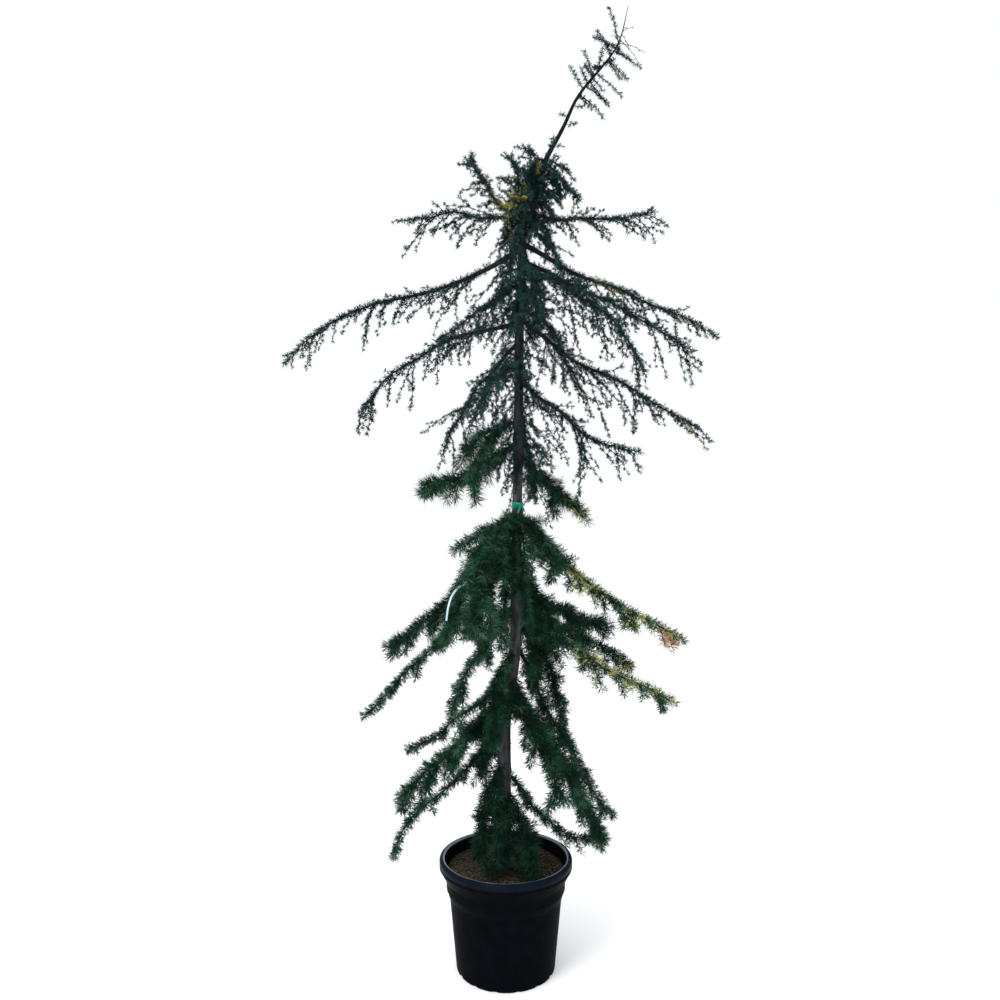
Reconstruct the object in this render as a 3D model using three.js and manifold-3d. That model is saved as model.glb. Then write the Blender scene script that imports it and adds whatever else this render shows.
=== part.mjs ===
// A potted weeping deodar cedar, 2.9 m tall with its pot.
// Millimetres, +Z up, +X to the viewer's right and +Y away from the viewer.
// The origin is the middle of the pot's flat underside.

import * as THREE from 'three';
import { mergeVertices } from 'three/addons/utils/BufferGeometryUtils.js';
import Module from 'manifold-3d';

const wasm = await Module();
wasm.setup();

const GAP = 0.3; // clearance between neighbouring pieces
const TRUNK_GAP = 0.45; // clearance between the trunk's facets and what grows from it
const SHY = 1.0; // clearance that a shoot keeps from the pieces of other nodes
const UP = new THREE.Vector3(0, 0, 1);
const DOWN = new THREE.Vector3(0, 0, -1);

// The nursery pot: a tapered wall with a shoulder under a deep slanted rim.
const POT = {
  height: 330,
  rimRadius: 200,
  rimTopRadius: 194,
  rimBevel: 8,
  mouthRadius: 184,
  rimEdgeHeight: 302,
  rimFootHeight: 268,
  neckRadius: 179,
  neckHeight: 240,
  shoulderRadius: 169,
  shoulderHeight: 218,
  footRadius: 148,
  footBevel: 3,
  wall: 3,
  floor: 4,
  sides: 32,
  drainHoles: 4,
  drainRadius: 9,
  drainRing: 105,
};

const SOIL = { level: 300, edgeLevel: 294, flatRadius: 60 };

// Trunk stations: height, sideways offset, depth offset and radius. The root flare stands on the soil.
// The trunk is nearly upright to 2.3 m, with a crook at 0.85 m, and then leans into the bare leader.
const TRUNK = [
  { z: SOIL.level + GAP, x: -3, y: 0, r: 29 },
  { z: 322, x: -3, y: 0, r: 23 },
  { z: 380, x: -3, y: 1, r: 20.5 },
  { z: 560, x: -4, y: 3, r: 19.5 },
  { z: 770, x: 0, y: 3, r: 18.5 },
  { z: 930, x: 26, y: 0, r: 17 },
  { z: 1160, x: 31, y: -2, r: 16 },
  { z: 1390, x: 35, y: -1, r: 15 },
  { z: 1650, x: 39, y: 1, r: 14.5 },
  { z: 1890, x: 41, y: 2, r: 13.5 },
  { z: 2100, x: 47, y: 0, r: 12.5 },
  { z: 2240, x: 56, y: -1, r: 11 },
  { z: 2345, x: 78, y: 0, r: 8.5 },
  { z: 2440, x: 124, y: 2, r: 7 },
  { z: 2535, x: 175, y: 4, r: 6 },
  { z: 2615, x: 212, y: 5, r: 5 },
];

const UPPER_FROM = 1650; // the upper crown, above this height, has darker needles

const SIDES = { trunk: 10, limb: 6, stem: 4, shoot: 3 };

// The band of tape round the trunk.
const TIE = { height: 1388, tall: 20, thick: 2.5, sides: 12 };

// Foliage of the crown's head, of the thin upper crown, of the lush lower one, of its narrow drapes, of its
// open boughs in the sun, of its slimmest boughs and of the leader.
// needle is how far a spray stands out of its twig, pitch the length of twig that one ring of sprays takes,
// apart the length of bough between two side shoots, and spread the angle at which they leave it.
const CREST = { needle: 22, pitch: 34, twig: 2.4, stem: 4.5, shoot: 84, apart: 40, weep: 0.4, spread: 46 };
const THIN = { needle: 22, pitch: 50, twig: 2.6, stem: 4.5, shoot: 190, apart: 59, weep: 0.6, spread: 48 };
const LUSH = { needle: 43, pitch: 48, twig: 5, stem: 6, shoot: 140, apart: 84, weep: 0.4, spread: 36 };
const DRAPE = { needle: 34, pitch: 44, twig: 3.6, stem: 5, shoot: 84, apart: 84, weep: 0.5, spread: 34 };
const OPEN = { needle: 30, pitch: 42, twig: 3.4, stem: 5, shoot: 115, apart: 84, weep: 0.4, spread: 40 };
const SLIM = { needle: 21, pitch: 33, twig: 2.4, stem: 4, shoot: 85, apart: 100, weep: 0.3, spread: 28 };
const FINE = { needle: 13, pitch: 22, twig: 1.8, stem: 4.6, shoot: 92, apart: 28, weep: 0.1, spread: 76 };

// The leader's leafy end goes on from the trunk's tip to the top of the tree.
// Its shoots, each a turn round from the last, stand on the lower half, and the rest is a thin wisp.
// open is how many degrees wider a shoot on its lower side stands, and narrower one on its upper side.
const LEADER = {
  tip: [342, 10, 2792],
  wisp: [373, 12, 2908],
  bow: -4,
  shootsFrom: 0.04,
  shootsTo: 0.52,
  shoots: 13,
  turn: 2.4,
  flat: 0.4,
  open: 14,
  lengthLeast: 0.7,
  lengthRange: 0.5,
  seed: 99,
};

// Each bough leaves the trunk at a height and a bearing (0 right, 90 away, 180 left, 270 to the viewer),
// reaches out and falls by the stated amounts, and leaves and ends at the stated angles below level.
// limb is the share of its length that is bare wood, a piece of its own, and 0 where leaves start at the
// trunk.
const BOUGHS = [
  // name, height, bearing, reach, fall, leaves at, ends at, limb, kind
  ['crown_left', 2270, 172, 170, -192, 0, -68, 0, CREST],
  ['crown_peak', 2330, 140, 75, -140, -30, -70, 0, CREST],
  ['crown_right', 2396, 338, 125, 105, 10, 58, 0, CREST],
  ['crown_front', 2270, 282, 75, -125, -35, -60, 0, CREST],
  ['skirt_front', 2215, 250, 120, 110, 5, 75, 0, THIN],
  ['skirt_right', 2250, 312, 150, 190, 10, 72, 0, THIN],
  ['left_1', 2248, 181, 350, 4, -2, 22, 0, THIN],
  ['right_1', 2275, 5, 395, -14, 14, -12, 0, THIN],
  ['left_2', 2173, 184, 710, 366, 42, 55, 0.14, THIN],
  ['right_2', 2179, 10, 626, 258, 30, 30, 0.14, THIN],
  ['right_3', 2088, 325, 405, 341, 15, 66, 0, THIN],
  ['left_3', 2060, 214, 295, 212, 30, 34, 0, THIN],
  ['right_4', 2128, 350, 499, 288, 28, 36, 0, THIN],
  ['left_4', 1937, 176, 490, 271, 6, 60, 0.14, THIN],
  ['right_5', 1955, 4, 545, 329, 42, 34, 0, THIN],
  ['left_5', 1816, 252, 330, 172, 15, 60, 0, THIN],
  ['right_6', 1767, 332, 380, 230, 35, 4, 0, THIN],
  ['left_6', 1585, 204, 300, 140, 42, 12, 0, LUSH],
  ['right_7', 1555, 24, 215, 187, 48, 36, 0, LUSH],
  ['left_7', 1359, 170, 406, 409, 50, 26, 0, LUSH],
  ['left_8', 1352, 246, 305, 296, -2, 70, 0, LUSH],
  ['left_9', 1312, 204, 232, 318, -4, 70, 0, LUSH],
  ['right_8', 1368, 8, 525, 400, 53, 28, 0, OPEN],
  ['left_10', 1235, 186, 458, 475, 46, 44, 0, SLIM],
  ['right_9', 1180, 32, 335, 165, 45, 4, 0, LUSH],
  ['right_10', 1100, 24, 415, 230, 42, 40, 0, OPEN],
  ['right_11', 1062, 352, 473, 258, 34, 28, 0, OPEN],
  ['right_12', 1070, 52, 274, 470, 42, 82, 0, DRAPE],
  ['right_13', 975, 12, 316, 556, 62, 52, 0, OPEN],
  ['left_11', 1090, 213, 225, 304, 40, 70, 0, DRAPE],
  ['left_12', 885, 163, 341, 272, 45, 32, 0, SLIM],
  ['right_14', 880, 300, 275, 304, 52, 56, 0, LUSH],
  ['left_13', 828, 197, 332, 290, 48, 40, 0, LUSH],
  ['left_14', 738, 181, 337, 417, 66, 80, 0, SLIM],
  ['right_15', 588, 16, 315, 236, 52, -10, 0, SLIM],
  ['right_16', 845, 352, 284, 452, 50, 64, 0, LUSH],
  ['skirt_left', 960, 228, 112, 275, 35, 82, 0, DRAPE],
  ['low_left', 620, 225, 112, 262, 45, 80, 0, LUSH],
  ['low_front', 520, 306, 150, 186, 15, 55, 0, LUSH],
  ['back_1', 2200, 102, 350, 120, 10, 45, 0, THIN],
  ['back_2', 2060, 62, 440, 262, 20, 45, 0, THIN],
  ['back_3', 1880, 124, 450, 290, 20, 50, 0, THIN],
  ['back_4', 1680, 80, 390, 280, 25, 50, 0, THIN],
  ['back_5', 1325, 114, 370, 390, 20, 58, 0, LUSH],
  ['back_6', 1210, 76, 350, 420, 30, 62, 0, LUSH],
  ['back_7', 900, 106, 340, 420, 40, 60, 0, LUSH],
  ['front_1', 2100, 276, 370, 262, 5, 62, 0, THIN],
  ['front_2', 1345, 300, 215, 140, 8, 56, 0, LUSH],
  ['front_3', 1326, 281, 112, 268, 0, 84, 0, DRAPE],
  ['front_4', 1232, 243, 105, 262, 20, 84, 0, DRAPE],
  ['left_15', 1640, 160, 180, 75, 5, 30, 0, LUSH],
  ['low_middle', 478, 262, 108, 148, 0, 62, 0, LUSH],
].map(([name, height, bearing, reach, fall, leaves, ends, limb, kind], i) => {
  return { name, height, bearing, reach, fall, leaves, ends, limb, kind, seed: i + 1 };
});

// How boughs and shoots grow.
const GROWTH = {
  pull: 0.36, // how far a bough keeps its first and last direction, as a share of its span
  reachPerRadius: 90, // each of these lengths of reach adds 1 mm to a bough's root radius
  taper: 0.7, // a bough loses its radius faster near its root
  stemPitch: 1.1, // a stem's rings of sprays are this much further apart than a shoot's
  firstShoot: 0.1, // the shares of a bough's length between which its shoots stand
  lastShoot: 0.96,
  afterLimb: 0.04,
  rollFrom: 35, // how far a shoot turns from straight below its bough, in degrees
  rollRange: 55,
  lengthAtRoot: 1.15, // shoots are longest near the trunk
  lengthLost: 0.6,
  lengthLeast: 0.45, // and each has a random share of its length, more often a small one
  lengthRange: 1.05,
  lengthSkew: 1.5,
  weepLeast: 0.3, // and a random share of its kind's weep
  weepRange: 1.4,
  forward: 0.45, // how far a spray leans along its twig, as a share of the ring spacing
  twigTaper: 0.5,
  sprayTaper: 0.35,
};

// A repeatable random number from 0 to 1 for each seed.
function seeded(seed) {
  let state = seed >>> 0;
  return () => {
    state = (state + 0x6d2b79f5) >>> 0;
    let t = Math.imul(state ^ (state >>> 15), state | 1);
    t ^= t + Math.imul(t ^ (t >>> 7), t | 61);
    return ((t ^ (t >>> 14)) >>> 0) / 4294967296;
  };
}

// A closed geometry as a solid for cutting and joining, and back.
function toSolid(geometry) {
  const bare = geometry.index ? geometry.toNonIndexed() : geometry.clone();
  for (const extra of ['normal', 'uv']) bare.deleteAttribute(extra);
  const merged = mergeVertices(bare, 1e-3);
  const mesh = new wasm.Mesh({
    numProp: 3,
    vertProperties: merged.attributes.position.array,
    triVerts: new Uint32Array(merged.index.array),
  });
  return new wasm.Manifold(mesh);
}

function toGeometry(solid) {
  const mesh = solid.getMesh();
  const positions = new Float32Array(mesh.numVert * 3);
  for (let i = 0; i < mesh.numVert; i++) {
    positions.set(mesh.vertProperties.subarray(i * mesh.numProp, i * mesh.numProp + 3), i * 3);
  }
  const geometry = new THREE.BufferGeometry();
  geometry.setAttribute('position', new THREE.BufferAttribute(positions, 3));
  geometry.setIndex(new THREE.BufferAttribute(new Uint32Array(mesh.triVerts), 1));
  return geometry;
}

function largestBody(solid) {
  return solid.decompose().sort((a, b) => b.volume() - a.volume())[0];
}

// Rings of points joined into one closed skin with flat ends. Every ring has the same number of points.
function skin(rings) {
  const sides = rings[0].length;
  const positions = rings.flat().flatMap((p) => [p.x, p.y, p.z]);
  const index = [];
  for (let j = 0; j + 1 < rings.length; j++) {
    for (let k = 0; k < sides; k++) {
      const a = j * sides + k;
      const b = j * sides + ((k + 1) % sides);
      index.push(a, b, b + sides, a, b + sides, a + sides);
    }
  }
  const last = (rings.length - 1) * sides;
  for (let k = 1; k + 1 < sides; k++) {
    index.push(0, k + 1, k, last, last + k, last + k + 1);
  }
  const geometry = new THREE.BufferGeometry();
  geometry.setAttribute('position', new THREE.Float32BufferAttribute(positions, 3));
  geometry.setIndex(index);
  return geometry;
}

// A turned solid about the Z axis from a profile of radius and height.
function turned(profile, sides) {
  const points = profile.map(([r, z]) => new THREE.Vector2(r, z));
  return new THREE.LatheGeometry(points, sides).rotateX(Math.PI / 2);
}

// Points and directions spaced evenly along part of a curve.
function stationsOn(line, from, to, steps) {
  return Array.from({ length: steps + 1 }, (_, i) => {
    const t = from + ((to - from) * i) / steps;
    return { point: line.getPoint(t), tangent: line.getTangent(t) };
  });
}

// Each station with two directions across it, carried along without twist.
function withSides(stations) {
  let side = null;
  return stations.map(({ point, tangent }) => {
    if (!side) {
      const helper = Math.abs(tangent.z) > 0.9 ? new THREE.Vector3(1, 0, 0) : UP;
      side = new THREE.Vector3().crossVectors(helper, tangent);
    }
    side = side.clone().addScaledVector(tangent, -side.dot(tangent)).normalize();
    return { point, tangent, side, lift: new THREE.Vector3().crossVectors(tangent, side) };
  });
}

function ringPoint(station, angle, radius) {
  return station.point
    .clone()
    .addScaledVector(station.side, radius * Math.cos(angle))
    .addScaledVector(station.lift, radius * Math.sin(angle));
}

// A plain round limb along stations, with one radius for each.
function limbSkin(stations, radii, sides) {
  return skin(
    withSides(stations).map((station, i) =>
      Array.from({ length: sides }, (_, k) => ringPoint(station, (k / sides) * 2 * Math.PI, radii[i]))
    )
  );
}

// A twig with sprays of needles: on each ring every second corner is drawn out and forward into a spray,
// and the next ring has its sprays between them. The first bareRings rings and the tip have none.
function twigSkin(stations, radius, needle, sides, bareRings) {
  const last = stations.length - 1;
  return skin(
    withSides(stations).map((station, j) =>
      Array.from({ length: sides }, (_, k) => {
        const angle = ((k + 0.5) / sides) * 2 * Math.PI;
        if (j < bareRings || j === last || (j + k) % 2 === 1) {
          return ringPoint(station, angle, radius * (1 - (GROWTH.twigTaper * j) / last));
        }
        const forward = GROWTH.forward * station.point.distanceTo(stations[j + 1].point);
        const out = needle * (1 - (GROWTH.sprayTaper * j) / last);
        return ringPoint(station, angle, out).addScaledVector(station.tangent, forward);
      })
    )
  );
}

// The trunk at a height, between two of its stations.
function trunkAt(height) {
  const i = Math.max(0, TRUNK.findIndex((s) => s.z > height) - 1);
  const [low, high] = [TRUNK[i], TRUNK[i + 1]];
  const share = (height - low.z) / (high.z - low.z);
  const between = (key) => THREE.MathUtils.lerp(low[key], high[key], share);
  return { point: new THREE.Vector3(between('x'), between('y'), height), radius: between('r') };
}

const trunkPoints = TRUNK.map((s) => new THREE.Vector3(s.x, s.y, s.z));
const trunkLean = trunkPoints.at(-1).clone().sub(trunkPoints.at(-2)).normalize();

// The trunk, or with extra the room that other pieces leave for it.
function trunkSkin(extra) {
  const stations = trunkPoints.map((point, i) => {
    const before = trunkPoints[Math.max(i - 1, 0)];
    const after = trunkPoints[Math.min(i + 1, trunkPoints.length - 1)];
    return { point: point.clone(), tangent: i === 0 ? UP : after.clone().sub(before).normalize() };
  });
  stations[0].point.z -= extra;
  stations.at(-1).point.addScaledVector(trunkLean, extra);
  return limbSkin(stations, TRUNK.map((s) => s.r + extra), SIDES.trunk);
}

// A direction from a bearing and an angle below level, both in degrees.
function heading(bearing, below) {
  const b = THREE.MathUtils.degToRad(bearing);
  const e = THREE.MathUtils.degToRad(below);
  return new THREE.Vector3(Math.cos(b) * Math.cos(e), Math.sin(b) * Math.cos(e), -Math.sin(e));
}

// A bough's centre line, from the trunk's middle to its tip.
function boughLine(bough) {
  const start = trunkAt(bough.height).point;
  const tip = heading(bough.bearing, 0).multiplyScalar(bough.reach).add(start);
  tip.z = start.z - bough.fall;
  const pull = start.distanceTo(tip) * GROWTH.pull;
  return new THREE.CubicBezierCurve3(
    start,
    heading(bough.bearing, bough.leaves).multiplyScalar(pull).add(start),
    heading(bough.bearing, bough.ends).multiplyScalar(-pull).add(tip),
    tip
  );
}

function boughRadius(bough, t) {
  const root = bough.kind.stem + bough.reach / GROWTH.reachPerRadius;
  return THREE.MathUtils.lerp(root, bough.kind.twig, Math.pow(t, GROWTH.taper));
}

// A shoot grows from a point in steps, and bends a little more downwards at each.
function growStations(point, direction, length, kind, weep) {
  const steps = Math.max(2, Math.round(length / kind.pitch));
  const stations = [{ point, tangent: direction.clone() }];
  for (let i = 0; i < steps; i++) {
    direction.addScaledVector(DOWN, weep / steps).normalize();
    const next = stations[i].point.clone().addScaledVector(direction, length / steps);
    stations.push({ point: next, tangent: direction.clone() });
  }
  return stations;
}

// A side shoot leaves its bough to the left and the right in turn, level or more or less below.
function boughShoot(mass, index) {
  const { bough, line, shoots } = mass;
  const { kind } = bough;
  const random = seeded(bough.seed * 1000 + index);
  const from = Math.max(bough.limb + GROWTH.afterLimb, GROWTH.firstShoot);
  const t = from + ((GROWTH.lastShoot - from) * (index + 0.25 + 0.5 * random())) / shoots;
  const tangent = line.getTangent(t);
  const sideways = new THREE.Vector3().crossVectors(tangent, UP).normalize();
  const under = new THREE.Vector3().crossVectors(tangent, sideways).normalize();
  const hand = index % 2 === 0 ? 1 : -1;
  const roll = THREE.MathUtils.degToRad(GROWTH.rollFrom + GROWTH.rollRange * random());
  const spread = THREE.MathUtils.degToRad(kind.spread * (0.8 + 0.4 * random()));
  const direction = tangent
    .multiplyScalar(Math.cos(spread))
    .addScaledVector(sideways, hand * Math.sin(roll) * Math.sin(spread))
    .addScaledVector(under, Math.cos(roll) * Math.sin(spread));
  const share = GROWTH.lengthLeast + GROWTH.lengthRange * Math.pow(random(), GROWTH.lengthSkew);
  const length = kind.shoot * (GROWTH.lengthAtRoot - GROWTH.lengthLost * t) * share;
  const weep = kind.weep * (GROWTH.weepLeast + GROWTH.weepRange * random());
  return growStations(line.getPoint(t), direction, length, kind, weep);
}

// The leader's shoots stand out in a spiral that favours its two sides, and rise a little.
function leaderShoot(mass, index) {
  const { bough, line, shoots } = mass;
  const { kind } = bough;
  const random = seeded(bough.seed * 1000 + index);
  const stretch = LEADER.shootsTo - LEADER.shootsFrom;
  const t = LEADER.shootsFrom + (stretch * (index + 0.3 + 0.4 * random())) / shoots;
  const tangent = line.getTangent(t);
  const side = new THREE.Vector3(0, 1, 0).cross(tangent).normalize();
  const depth = new THREE.Vector3().crossVectors(tangent, side);
  const even = index * LEADER.turn + random();
  const turn = even - LEADER.flat * Math.sin(2 * even);
  const spread = THREE.MathUtils.degToRad(kind.spread + LEADER.open * Math.cos(turn));
  const direction = tangent
    .multiplyScalar(Math.cos(spread))
    .addScaledVector(side, Math.cos(turn) * Math.sin(spread))
    .addScaledVector(depth, Math.sin(turn) * Math.sin(spread));
  const length = kind.shoot * (LEADER.lengthLeast + LEADER.lengthRange * random());
  return growStations(line.getPoint(t), direction, length, kind, kind.weep);
}

// The pot, a turned shell with drain holes in its floor.
function potSolid() {
  const inner = (radius) => radius - POT.wall;
  const shell = turned(
    [
      [0, 0],
      [POT.footRadius - POT.footBevel, 0],
      [POT.footRadius, POT.footBevel],
      [POT.shoulderRadius, POT.shoulderHeight],
      [POT.neckRadius, POT.neckHeight],
      [POT.neckRadius, POT.rimFootHeight],
      [POT.rimRadius, POT.rimEdgeHeight],
      [POT.rimRadius, POT.height - POT.rimBevel],
      [POT.rimTopRadius, POT.height],
      [POT.mouthRadius, POT.height],
      [inner(POT.neckRadius), POT.rimFootHeight],
      [inner(POT.neckRadius), POT.neckHeight],
      [inner(POT.shoulderRadius), POT.shoulderHeight],
      [inner(POT.footRadius), POT.floor],
      [0, POT.floor],
    ],
    POT.sides
  );
  let solid = toSolid(shell);
  for (let i = 0; i < POT.drainHoles; i++) {
    const angle = ((i + 0.5) / POT.drainHoles) * 2 * Math.PI;
    const drill = new THREE.CylinderGeometry(POT.drainRadius, POT.drainRadius, POT.floor * 4, 8);
    drill.rotateX(Math.PI / 2).translate(POT.drainRing * Math.cos(angle), POT.drainRing * Math.sin(angle), 0);
    solid = solid.subtract(toSolid(drill));
  }
  return solid;
}

// The compost that fills the pot to just under the rim.
function soilSolid() {
  const clear = (radius) => radius - POT.wall - GAP / Math.cos(Math.PI / POT.sides);
  const profile = [
    [0, POT.floor + GAP],
    [clear(POT.footRadius), POT.floor + GAP],
    [clear(POT.shoulderRadius), POT.shoulderHeight],
    [clear(POT.neckRadius), POT.neckHeight],
    [clear(POT.neckRadius), POT.rimFootHeight],
    [clear(POT.neckRadius), SOIL.edgeLevel],
    [SOIL.flatRadius, SOIL.level],
    [0, SOIL.level],
  ];
  return toSolid(turned(profile, POT.sides));
}

// The band of tape tied round the trunk.
function tieSolid() {
  const { point, radius } = trunkAt(TIE.height);
  const inside = (radius + 2 * GAP) / Math.cos(Math.PI / TIE.sides);
  const profile = [
    [inside, 0],
    [inside + TIE.thick, 0],
    [inside + TIE.thick, TIE.tall],
    [inside, TIE.tall],
    [inside, 0],
  ];
  return toSolid(turned(profile, TIE.sides).translate(point.x, point.y, TIE.height - TIE.tall / 2));
}

// The bare part of a bough, from the trunk to where its foliage starts.
function limbSolid(bough, trunkRoom) {
  const steps = 4;
  const stations = stationsOn(boughLine(bough), 0, bough.limb, steps);
  const radii = stations.map((_, i) => boughRadius(bough, (bough.limb * i) / steps));
  return largestBody(toSolid(limbSkin(stations, radii, SIDES.limb)).subtract(trunkRoom));
}

// A mass of foliage starts as its stem, from its limb's end or from the trunk, and then grows side shoots.
function boughMass(bough, trunkRoom) {
  const { kind, limb } = bough;
  const line = boughLine(bough);
  const leafy = line.getLength() * (1 - limb);
  const steps = Math.max(4, Math.round(leafy / (kind.pitch * GROWTH.stemPitch)));
  const stations = stationsOn(line, limb, 1, steps);
  if (limb > 0) stations[0].point.addScaledVector(stations[0].tangent, GAP);
  const bareRings = limb > 0 ? 1 : 2;
  const stem = toSolid(twigSkin(stations, boughRadius(bough, limb), kind.needle, SIDES.stem, bareRings));
  const pieces = [limb > 0 ? stem : largestBody(stem.subtract(trunkRoom))];
  return { name: bough.name, bough, line, shoots: Math.round(leafy / kind.apart), shoot: boughShoot, pieces };
}

// The leader's leafy end: a slim stem that bows a little, and its wisp.
function leaderMass(trunkRoom) {
  const foot = trunkPoints.at(-1);
  const tip = new THREE.Vector3(...LEADER.tip);
  const wisp = new THREE.Vector3(...LEADER.wisp);
  const line = new THREE.CatmullRomCurve3([
    foot,
    foot.clone().lerp(tip, 0.5).add(new THREE.Vector3(LEADER.bow, 0, 0)),
    tip,
    tip.clone().lerp(wisp, 0.5).add(new THREE.Vector3(LEADER.bow, 0, 0)),
    wisp,
  ]);
  const steps = Math.round(line.getLength() / FINE.pitch);
  const stem = toSolid(twigSkin(stationsOn(line, 0, 1, steps), FINE.stem, FINE.needle, SIDES.stem, 1));
  const pieces = [stem.subtract(trunkRoom)];
  const bough = { seed: LEADER.seed, kind: FINE };
  return { name: 'leader', bough, line, shoots: LEADER.shoots, shoot: leaderShoot, pieces };
}

// True if a piece keeps clear of every other solid.
function isClear(piece, others) {
  const box = piece.boundingBox();
  return others.every((other) => {
    const room = other.boundingBox();
    const apart = [0, 1, 2].some((i) => box.min[i] > room.max[i] + SHY || room.min[i] > box.max[i] + SHY);
    return apart || piece.minGap(other, SHY) >= SHY;
  });
}

// Shoots grow in turns, one on each mass, and a shoot that would touch another node is skipped.
function growShoots(masses, fixed) {
  const turns = Math.max(...masses.map((m) => m.shoots));
  for (let turn = 0; turn < turns; turn++) {
    for (const mass of masses.filter((m) => turn < m.shoots)) {
      const { kind } = mass.bough;
      const others = [...fixed, ...masses.filter((m) => m !== mass).flatMap((m) => m.pieces)];
      const piece = toSolid(twigSkin(mass.shoot(mass, turn), kind.twig, kind.needle, SIDES.shoot, 1));
      if (isClear(piece, others)) mass.pieces.push(piece);
    }
  }
}

const MATERIALS = {
  pot: new THREE.MeshStandardMaterial({ color: 0x14161c, roughness: 0.45, metalness: 0 }),
  soil: new THREE.MeshStandardMaterial({ color: 0x3a2a1e, roughness: 0.95, metalness: 0 }),
  bark: new THREE.MeshStandardMaterial({ color: 0x4c434a, roughness: 0.85, metalness: 0 }),
  tape: new THREE.MeshStandardMaterial({ color: 0x12906a, roughness: 0.4, metalness: 0 }),
  thin: new THREE.MeshStandardMaterial({ color: 0x1f3a35, roughness: 0.7, metalness: 0 }),
  lush: new THREE.MeshStandardMaterial({ color: 0x1f4a34, roughness: 0.7, metalness: 0 }),
};

const group = new THREE.Group();

function place(name, solid, material) {
  const mesh = new THREE.Mesh(toGeometry(solid), material);
  mesh.name = name;
  group.add(mesh);
  return solid;
}

const trunkRoom = toSolid(trunkSkin(TRUNK_GAP));
const fixed = [
  place('pot', potSolid(), MATERIALS.pot),
  place('soil', soilSolid(), MATERIALS.soil),
  place('trunk', toSolid(trunkSkin(0)), MATERIALS.bark),
  place('tie', tieSolid(), MATERIALS.tape),
];
for (const bough of BOUGHS.filter((b) => b.limb > 0)) {
  fixed.push(place(`limb_${bough.name}`, limbSolid(bough, trunkRoom), MATERIALS.bark));
}

const masses = [leaderMass(trunkRoom), ...BOUGHS.map((bough) => boughMass(bough, trunkRoom))];
growShoots(masses, fixed);
for (const mass of masses) {
  const whole = largestBody(wasm.Manifold.union(mass.pieces));
  const green = [LUSH, DRAPE, OPEN].includes(mass.bough.kind) && mass.bough.height < UPPER_FROM;
  place(`foliage_${mass.name}`, whole, green ? MATERIALS.lush : MATERIALS.thin);
}

export default group;
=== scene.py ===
"""A potted weeping deodar cedar: bark, boughs, twigs, needles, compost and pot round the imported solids.

Sizes are in millimetres and angles in degrees until a piece is placed in metres.
X is to the viewer's right, Y away from the viewer and Z up, from the middle of the pot's underside.
"""

import math
from collections import namedtuple

import bpy
import numpy as np
from mathutils import Matrix, Vector


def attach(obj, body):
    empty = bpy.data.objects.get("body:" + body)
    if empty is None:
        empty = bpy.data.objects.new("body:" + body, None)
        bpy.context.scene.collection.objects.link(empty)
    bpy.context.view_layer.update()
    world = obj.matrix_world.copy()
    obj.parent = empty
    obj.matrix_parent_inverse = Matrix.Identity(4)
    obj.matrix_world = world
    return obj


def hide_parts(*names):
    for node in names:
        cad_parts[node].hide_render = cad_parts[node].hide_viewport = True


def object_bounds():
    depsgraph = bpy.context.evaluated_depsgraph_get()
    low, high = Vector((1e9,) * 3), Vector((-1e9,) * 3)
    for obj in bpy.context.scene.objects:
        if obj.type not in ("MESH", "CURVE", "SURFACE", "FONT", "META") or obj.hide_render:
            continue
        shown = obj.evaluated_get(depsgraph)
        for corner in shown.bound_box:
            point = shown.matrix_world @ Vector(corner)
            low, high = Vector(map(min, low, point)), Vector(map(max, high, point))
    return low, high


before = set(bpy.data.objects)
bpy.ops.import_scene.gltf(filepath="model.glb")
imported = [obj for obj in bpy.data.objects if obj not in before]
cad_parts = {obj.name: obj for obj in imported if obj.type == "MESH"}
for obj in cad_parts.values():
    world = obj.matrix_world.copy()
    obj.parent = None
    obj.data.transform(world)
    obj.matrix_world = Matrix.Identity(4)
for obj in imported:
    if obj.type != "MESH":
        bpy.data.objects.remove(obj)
cad_box = [list(corner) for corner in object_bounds()]

MM = 0.001
TAU = 2 * math.pi
GOLDEN_TURN = math.radians(137.5)
UP = np.array([0.0, 0.0, 1.0])
DOWN = -UP

# The trunk's stations: height, sideways offset, depth offset and radius.
TRUNK = [
    (300.3, -3, 0, 29),
    (322, -3, 0, 23),
    (380, -3, 1, 20.5),
    (560, -4, 3, 19.5),
    (770, 0, 3, 18.5),
    (930, 26, 0, 17),
    (1160, 31, -2, 16),
    (1390, 35, -1, 15),
    (1650, 39, 1, 14.5),
    (1890, 41, 2, 13.5),
    (2100, 47, 0, 12.5),
    (2240, 56, -1, 11),
    (2345, 78, 0, 8.5),
    (2440, 124, 2, 7),
    (2535, 175, 4, 6),
    (2615, 212, 5, 5),
]
LEADER_TIP = (2792, 342, 10, 2.2)
LEADER_WISP = (2908, 373, 12, 0.7)

# A kind of foliage. Up to spread as in the solids: a bough's tip and how much thicker its root is, a side
# shoot's length, the bough's length between two, how far they bend down and their angle. Then slight shoots
# for each main one, the length between side twigs and between tufts, a tuft's needles, their length, width
# and share of that length on side shoots, and how far a tuft opens and leans along its twig.
Kind = namedtuple(
    "Kind", "twig stem shoot apart weep spread finer side spur tuft length width slight fan lean"
)
CREST = Kind(2.4, 4.5, 84, 40, 0.4, 46, 3.6, 50, 11.0, 17, 17, 2.3, 0.8, 80, 15)
THIN = Kind(2.6, 4.5, 190, 59, 0.6, 48, 2.6, 66, 12.5, 16, 18, 2.3, 0.66, 80, 15)
LUSH = Kind(5, 6, 140, 84, 0.4, 36, 3.6, 42, 5.0, 11, 36, 2.2, 1, 46, 38)
DRAPE = Kind(3.6, 5, 84, 84, 0.5, 34, 3.2, 40, 5.5, 11, 30, 2.2, 1, 48, 36)
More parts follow.
